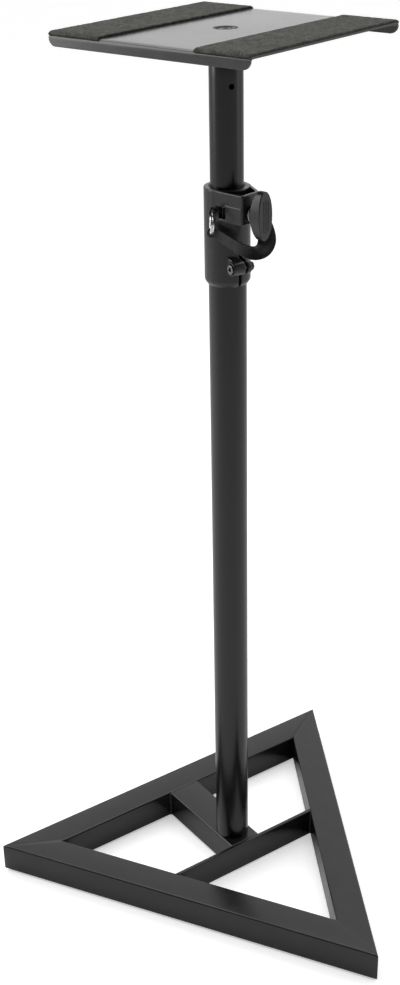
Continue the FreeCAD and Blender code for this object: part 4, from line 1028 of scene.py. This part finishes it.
studio = dict(camera=(1069.8, -826.3, 1176.3), azimuth=2.5287, tilt=0.4652, roll=-0.0163, lens=53.23,
              shiftX=-0.0062, shiftY=0.0143, floorRadius=16.0, floorTone=0.82, floorGlow=0.45,
              darkWay=(0.80, -0.60, 0.0), darkSide=0.02, darkStart=-0.15, darkEnd=0.6)
lamps = {"skySoftbox": dict(place=(-0.3, 0.2, 2.6), aim=(0, 0, 0.5), size=(2.2, 2.2), power=26),
         "leftSoftbox": dict(place=(-1.3, -1.6, 1.5), aim=(-0.06, 0, 0.6), size=(0.9, 2.2), power=20),
         "rightSoftbox": dict(place=(1.2, 1.5, 1.2), aim=(-0.06, 0, 0.6), size=(0.7, 2.0), power=3)}


def standAt(item, side, up, back, place):
    # puts an object in the scene with its X, Y and Z along side, up and back, at a place in metres
    bpy.context.scene.collection.objects.link(item)
    matrix = np.eye(4)
    matrix[:3] = np.stack([side, up, back, place], -1)
    item.matrix_world = Matrix(matrix.tolist())


def addCamera(s):
    az, tilt, roll = s["azimuth"], s["tilt"], s["roll"]
    ahead = np.array([math.cos(tilt) * math.cos(az), math.cos(tilt) * math.sin(az), -math.sin(tilt)])
    right = np.array([ahead[1], -ahead[0], 0])
    right /= np.linalg.norm(right)
    up = np.cross(right, ahead)
    across = math.cos(roll) * right + math.sin(roll) * up
    upright = math.cos(roll) * up - math.sin(roll) * right
    data = bpy.data.cameras.new("photoCamera")
    data.lens, data.sensor_width, data.shift_x, data.shift_y = s["lens"], 36.0, s["shiftX"], s["shiftY"]
    data.clip_start, data.clip_end = 0.05, 60
    camera = bpy.data.objects.new("photoCamera", data)
    standAt(camera, across, upright, -ahead, np.array(s["camera"]) * 0.001)
    bpy.context.scene.camera = camera


def addLamp(name, lamp):
    data = bpy.data.lights.new(name, "AREA")
    data.shape, data.energy = "RECTANGLE", lamp["power"]
    data.size, data.size_y = lamp["size"]
    place, aim = np.array(lamp["place"], float), np.array(lamp["aim"], float)
    back = (place - aim) / np.linalg.norm(place - aim)
    side = np.cross((0, 0, 1), back)
    side /= np.linalg.norm(side)
    standAt(bpy.data.objects.new(name, data), side, np.cross(back, side), back, place)


def addRoom(s):
    # a room that is white to the camera, and lights the object at a plain level that falls off to nearly nothing
    # towards darkWay, where the photograph's camera stands; this is fixed in the room and doesn't turn with a view
    world = bpy.data.worlds.new("studioRoom")
    bpy.context.scene.world = world
    world.use_nodes = True
    tree = world.node_tree
    tree.nodes.clear()
    out = tree.nodes.new("ShaderNodeOutputWorld")
    plain, bright = tree.nodes.new("ShaderNodeBackground"), tree.nodes.new("ShaderNodeBackground")
    way = tree.nodes.new("ShaderNodeTexCoord").outputs["Generated"]
    dot = tree.nodes.new("ShaderNodeVectorMath")
    dot.operation = "DOT_PRODUCT"
    dot.inputs[1].default_value = s["darkWay"]
    tree.links.new(way, dot.inputs[0])
    level = ranged(tree, dot.outputs["Value"], s["darkStart"], s["darkEnd"], 1.0, s["darkSide"])
    tree.links.new(level, plain.inputs["Strength"])
    plain.inputs["Color"].default_value = (1, 1, 1, 1)
    bright.inputs["Color"].default_value = (1, 1, 1, 1)
    bright.inputs["Strength"].default_value = 1.0
    path = tree.nodes.new("ShaderNodeLightPath")
    mix = tree.nodes.new("ShaderNodeMixShader")
    tree.links.new(path.outputs["Is Camera Ray"], mix.inputs[0])
    tree.links.new(plain.outputs[0], mix.inputs[1])
    tree.links.new(bright.outputs[0], mix.inputs[2])
    tree.links.new(mix.outputs[0], out.inputs[0])


def addFloor(s):
    # a wide pale disc, given a little of its own light for the camera so that it is white beyond the shadow
    r = np.array([0, 0.3, 0.6, 1.0, 2.0, 5.0, s["floorRadius"]]) * 1000
    points, quads = ringShell([(x, 0) for x in r], 64)
    mesh = bpy.data.meshes.new("studioFloor")
    mesh.from_pydata((points.reshape(-1, 3) * 0.001).tolist(), [], quads[:, ::-1].tolist())
    work = bmesh.new()
    work.from_mesh(mesh)
    bmesh.ops.remove_doubles(work, verts=work.verts, dist=1e-6)
    for face in work.faces:
        if face.normal.z < 0:
            face.normal_flip()
    work.to_mesh(mesh)
    work.free()
    floor = bpy.data.objects.new("studioFloor", mesh)
    bpy.context.scene.collection.objects.link(floor)
    look, tree, shader, where = nodeTree("paleFloor")
    shader.inputs["Base Color"].default_value = (*[s["floorTone"]] * 3, 1)
    shader.inputs["Roughness"].default_value = 0.9
    shader.inputs["Specular IOR Level"].default_value = 0.1
    shader.inputs["Emission Color"].default_value = (1, 1, 1, 1)
    path = tree.nodes.new("ShaderNodeLightPath")
    glow = ranged(tree, path.outputs["Is Camera Ray"], 0, 1, 0, s["floorGlow"])
    tree.links.new(glow, shader.inputs["Emission Strength"])
    mesh.materials.append(look)


addCamera(studio)
addRoom(studio)
addFloor(studio)
for name, lamp in lamps.items():
    addLamp(name, lamp)
print("studio done")
bpy.context.scene.view_settings.view_transform = "Standard"
